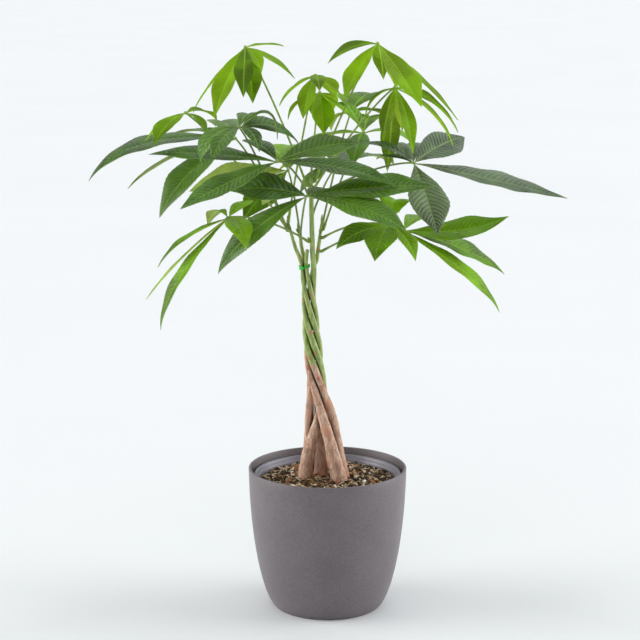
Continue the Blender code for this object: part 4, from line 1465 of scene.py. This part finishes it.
def blade_finish(name, face, skin, back):
    """A blade's upper or under face: side veins, rib, fine netting and cloudy greens, with painted highlights
    on the swellings between the veins, and on the upper face painted shade in the sunken veins and netting.
    """
    mix = Finish("blade_" + name)
    place = mix.place()
    sheet = mix.add("UVMap", {}, uv_map="blade").outputs["UV"]
    split = mix.add("SeparateXYZ", {"Vector": sheet})
    tone, along = mix.mark("tone"), mix.mark("along")
    side = mix.times(mix.off_middle(split.outputs["X"]), 2.0)
    drift = mix.times(mix.minus(mix.grain(place, 60, 2), 0.5), 0.55)
    beat = mix.maths("FRACT", mix.plus(mix.plus(split.outputs["Y"], drift), 0.5))
    gap = mix.off_middle(beat)
    edge = mix.span(side, 0.98, 0.84)
    vein = mix.times(mix.span(gap, 0.16, 0.03), edge)
    rib = mix.span(side, 0.120, 0.060)
    swell = mix.times(mix.span(gap, 0.16, 0.46), edge)

    columns = {"X": split.outputs["X"], "Y": split.outputs["Y"], "Z": tone}
    woven = mix.add("CombineXYZ", columns).outputs["Vector"]
    woven = mix.add("Mapping", {"Vector": woven, "Scale": (15, 2.2, 3)}).outputs["Vector"]
    netting = mix.cells(woven, 1.0)
    net = mix.times(mix.span(netting, 0.10, 0.0), skin.net)

    # Darker and lighter copies of the face: the cloudy greens use both; on the upper face the darker one is
    # painted shade in the sunken veins and netting, and the lighter one is also a painted highlight on the
    # swellings
    dark = shaded(face, 0.45)
    light = [min(c * 1.75 + 0.004, 1) for c in face]
    pale = (min(face[0] * 1.3 + 0.16, 1), min(face[1] * 1.2 + 0.20, 1), face[2] + 0.05)
    warm = (min(face[0] * 1.9 + 0.02, 1), min(face[1] * 1.25, 1), face[2])
    cloud = mix.grain(place, 22, 3, 0.55)
    leaning = mix.plus(cloud, mix.span(tone, 0, 1, -0.12, 0.12))
    tint = mix.blend(mix.span(leaning, 0.34, 0.50), dark, face)
    tint = mix.blend(mix.span(leaning, 0.50, 0.72), tint, light)
    # Painted highlight on the swellings between the side veins
    tint = mix.blend(mix.times(swell, skin.swell * 0.6), tint, light)
    young_part = mix.minus(tone, mix.times(along, 0.5))
    tint = mix.blend(mix.span(young_part, 0.0, 0.6, 0, 0.25), tint, warm)
    # Side veins and netting: on the upper face darker, painted shade in their grooves; on the under face
    # paler
    tint = mix.blend(mix.times(vein, skin.veins), tint, pale if back else dark)
    tint = mix.blend(net, tint, pale if back else dark)
    tint = mix.blend(mix.times(rib, 0.9), tint, pale)
    tint = mix.blend(mix.span(side, 0.96, 1.0, 0, 0.45), tint, pale)

    raised = 1.0 if back else -1.0
    height = mix.times(vein, 1.2 * raised)
    height = mix.plus(height, mix.times(mix.span(netting, 0.14, 0.0), 0.35 * raised))
    height = mix.plus(height, mix.times(mix.grain(place, 380, 2), 0.25))
    bump = mix.relief(height, 0.0007, 0.35 + 0.5 * skin.swell)
    rough = mix.span(cloud, 0.3, 0.7, skin.rough - 0.05, skin.rough + 0.07)
    mix.done(Base_Color=tint, Roughness=rough, Normal=bump, Specular_IOR_Level=skin.gloss)
    glow = mix.blend(0.6, tint, (0.55, 0.80, 0.04))
    lit = mix.add("BsdfTranslucent", {"Color": glow, "Normal": bump})
    joined = mix.add("MixShader", {0: skin.through, 1: mix.shader.outputs["BSDF"], 2: lit.outputs["BSDF"]})
    mix.feed(mix.output, {"Surface": joined.outputs["Shader"]})
    return mix.coat


def stalk_finish(name, colour):
    """A stalk: light green, darker along its length, faintly ribbed."""
    mix = Finish("stalk_" + name)
    place = mix.place()
    grain = mix.grain(place, 160, 3)
    dark = shaded(colour, 0.55)
    tint = mix.blend(mix.span(grain, 0.35, 0.65, 0.15, 0.85), dark, colour)
    tint = mix.blend(mix.span(mix.mark("along"), 0.80, 1.0, 0, 0.6), tint, (0.33, 0.50, 0.12))
    bump = mix.relief(grain, 0.0003, 0.4)
    rough = mix.span(grain, 0.3, 0.7, 0.38, 0.50)
    return mix.done(Base_Color=tint, Roughness=rough, Normal=bump, Specular_IOR_Level=0.45)


def leaves(settings):
    """All the leaves, each a piece with its stalk, knuckle and leaflets."""
    coats = {}
    for age, shade in STALK_SHADES.items():
        face, back = getattr(settings, age), getattr(settings, age + "_back")
        coats[age] = [
            blade_finish(age, face, SKINS[age], False),
            blade_finish(age + "_back", back, SKINS[age + "_back"], True),
            stalk_finish(age, shaded(settings.stalk, shade)),
        ]
    wood = [spot for stem in STEMS for spot in cane_line(stem)]
    for leaf in LEAVES:
        whole = bmesh.new()
        for number, leaflet in enumerate(leaf.leaflets):
            pour(blade(leaf, leaflet, number, settings.sheet), whole)
        pour(stalk(leaf, wood), whole)
        name = leaf.name.replace("leaf", "foliage")
        # One leaf gets the greyish coats, a painted sheen
        coat = "weathered" if leaf.name == GREY_SHEEN_LEAF else leaf.age
        piece(whole, name, coats[coat], [leaf.name], smooth_angle=50, outward=False)


# Studio


FLOOR_SIZE = 60
SENSOR_WIDTH = 36
# Each light: its width in degrees, the way to it and its colour
LIGHTS = {
    "left": (52, (-0.96, 0.02, 0.25), (1.0, 0.99, 0.97)),
    "right": (52, (0.96, 0.06, 0.24), (1.0, 1.0, 1.0)),
    "back": (70, (0.20, 0.72, 0.80), (0.98, 0.99, 1.0)),
    "top": (60, (-0.10, -0.58, 0.81), (1.0, 1.0, 1.0)),
}
# Y of the directions between which the sky grows from its weaker front to its full strength
SKY_FADE = (-0.95, -0.25)


def sun(name, strength, angle, aim, colour):
    """A broad soft light that comes from the same side everywhere."""
    lamp = bpy.data.lights.new(name, "SUN")
    lamp.energy = strength
    lamp.angle = math.radians(angle)
    lamp.color = colour
    made = bpy.data.objects.new(name, lamp)
    made.rotation_euler = (-Vector(aim)).to_track_quat("-Z", "Y").to_euler()
    bpy.context.scene.collection.objects.link(made)


def studio(settings):
    """Pale floor, a sky that is weaker in front, four broad lights and the camera."""
    scene = bpy.context.scene
    scene.view_settings.view_transform = "Standard"

    world = bpy.data.worlds.new("studio")
    world.use_nodes = True
    backdrop = world.node_tree.nodes["Background"]
    backdrop.inputs["Color"].default_value = (0.95, 0.975, 1.0, 1)
    links = world.node_tree.links
    facing = world.node_tree.nodes.new("ShaderNodeTexCoord")
    split = world.node_tree.nodes.new("ShaderNodeSeparateXYZ")
    fade = world.node_tree.nodes.new("ShaderNodeMapRange")
    ends = dict(zip(("From Min", "From Max"), SKY_FADE))
    ends |= {"To Min": settings.sky * settings.front, "To Max": settings.sky}
    for key, value in ends.items():
        fade.inputs[key].default_value = value
    links.new(facing.outputs["Generated"], split.inputs["Vector"])
    links.new(split.outputs["Y"], fade.inputs["Value"])
    links.new(fade.outputs["Result"], backdrop.inputs["Strength"])
    scene.world = world

    mix = Finish("studio_floor")
    haze = mix.grain(mix.place(), 1.3, 2)
    tint = mix.blend(mix.span(haze, 0.3, 0.7), settings.floor, shaded(settings.floor, 0.985))
    coat = mix.done(Base_Color=tint, Roughness=0.7, Specular_IOR_Level=0.2)
    bm = bmesh.new()
    bmesh.ops.create_grid(bm, x_segments=8, y_segments=8, size=FLOOR_SIZE)
    mesh = bpy.data.meshes.new("studio_floor")
    bm.to_mesh(mesh)
    bm.free()
    mesh.materials.append(coat)
    ground = bpy.data.objects.new("studio_floor", mesh)
    scene.collection.objects.link(ground)

    for side, (angle, aim, colour) in LIGHTS.items():
        sun(side + "_light", getattr(settings, side), angle, aim, colour)

    lens = bpy.data.cameras.new("camera")
    lens.lens = settings.lens
    lens.sensor_width = SENSOR_WIDTH
    lens.clip_start = 0.01
    lens.clip_end = 200
    camera = bpy.data.objects.new("camera", lens)
    camera.location = settings.eye
    camera.rotation_euler = (math.pi / 2 - settings.tilt, 0, 0)
    scene.collection.objects.link(camera)
    scene.camera = camera


# Operators and panel


class MONEYTREE_OT_pots(bpy.types.Operator):
    """Make the cover pot and the grow pot"""

    bl_idname = "money_tree.pots"
    bl_label = "Pots"

    def execute(self, context):
        settings = context.scene.money_tree.pot
        pot_shell(settings)
        inner_pot(settings)
        return {"FINISHED"}


class MONEYTREE_OT_soil(bpy.types.Operator):
    """Make the potting mix: bed, bark, perlite and fibres"""

    bl_idname = "money_tree.soil"
    bl_label = "Potting mix"

    def execute(self, context):
        settings = context.scene.money_tree.soil
        feet = [stem_at(stem, SOIL_HIGH.z) for stem in STEMS]
        coat = soil_finish(settings, "bark_and_coir", settings.straw)
        soil_bed(soil_finish(settings, "peat_bed", settings.bark, clumped=True))
        loose_mix(settings, coat, feet)
        perlite(settings, feet)
        fibres(settings, coat, feet)
        return {"FINISHED"}


class MONEYTREE_OT_canes(bpy.types.Operator):
    """Make the five twisted canes and their buds"""

    bl_idname = "money_tree.canes"
    bl_label = "Canes"

    def execute(self, context):
        settings = context.scene.money_tree.cane
        coat = cane_finish(settings)
        lines = {stem.name: cane_line(stem) for stem in STEMS}
        for stem in STEMS:
            others = cane_tree([line for name, line in lines.items() if name != stem.name])
            cane(stem, lines[stem.name], others, settings, coat)
        cane_buds(stalk_finish("bud", context.scene.money_tree.leaf.stalk))
        return {"FINISHED"}


class MONEYTREE_OT_tie(bpy.types.Operator):
    """Make the plastic tie"""

    bl_idname = "money_tree.tie"
    bl_label = "Tie"

    def execute(self, context):
        tie_band(context.scene.money_tree.tie)
        return {"FINISHED"}


class MONEYTREE_OT_leaves(bpy.types.Operator):
    """Make the leaves with their stalks"""

    bl_idname = "money_tree.leaves"
    bl_label = "Leaves"

    def execute(self, context):
        leaves(context.scene.money_tree.leaf)
        return {"FINISHED"}


class MONEYTREE_OT_studio(bpy.types.Operator):
    """Set up the floor, the lights and the camera"""

    bl_idname = "money_tree.studio"
    bl_label = "Studio"

    def execute(self, context):
        studio(context.scene.money_tree.studio)
        return {"FINISHED"}


OPERATORS = (
    MONEYTREE_OT_pots,
    MONEYTREE_OT_soil,
    MONEYTREE_OT_canes,
    MONEYTREE_OT_tie,
    MONEYTREE_OT_leaves,
    MONEYTREE_OT_studio,
)


class MONEYTREE_PT_panel(bpy.types.Panel):
    """Lists the steps that dress the frame"""

    bl_idname = "MONEYTREE_PT_panel"
    bl_label = "Money tree"
    bl_space_type = "VIEW_3D"
    bl_region_type = "UI"
    bl_category = "Money tree"

    def draw(self, context):
        for operator in OPERATORS:
            self.layout.operator(operator.bl_idname)


CLASSES = (
    PotSettings,
    SoilSettings,
    CaneSettings,
    TieSettings,
    LeafSettings,
    StudioSettings,
    MoneyTreeSettings,
    *OPERATORS,
    MONEYTREE_PT_panel,
)


def register():
    for kind in CLASSES:
        bpy.utils.register_class(kind)
    bpy.types.Scene.money_tree = PointerProperty(type=MoneyTreeSettings)


def unregister():
    del bpy.types.Scene.money_tree
    for kind in reversed(CLASSES):
        bpy.utils.unregister_class(kind)


def main():
    register()
    bpy.ops.money_tree.studio()
    bpy.ops.money_tree.pots()
    bpy.ops.money_tree.soil()
    bpy.ops.money_tree.canes()
    bpy.ops.money_tree.tie()
    bpy.ops.money_tree.leaves()
    bpy.context.view_layer.update()


if __name__ == "__main__":
    main()
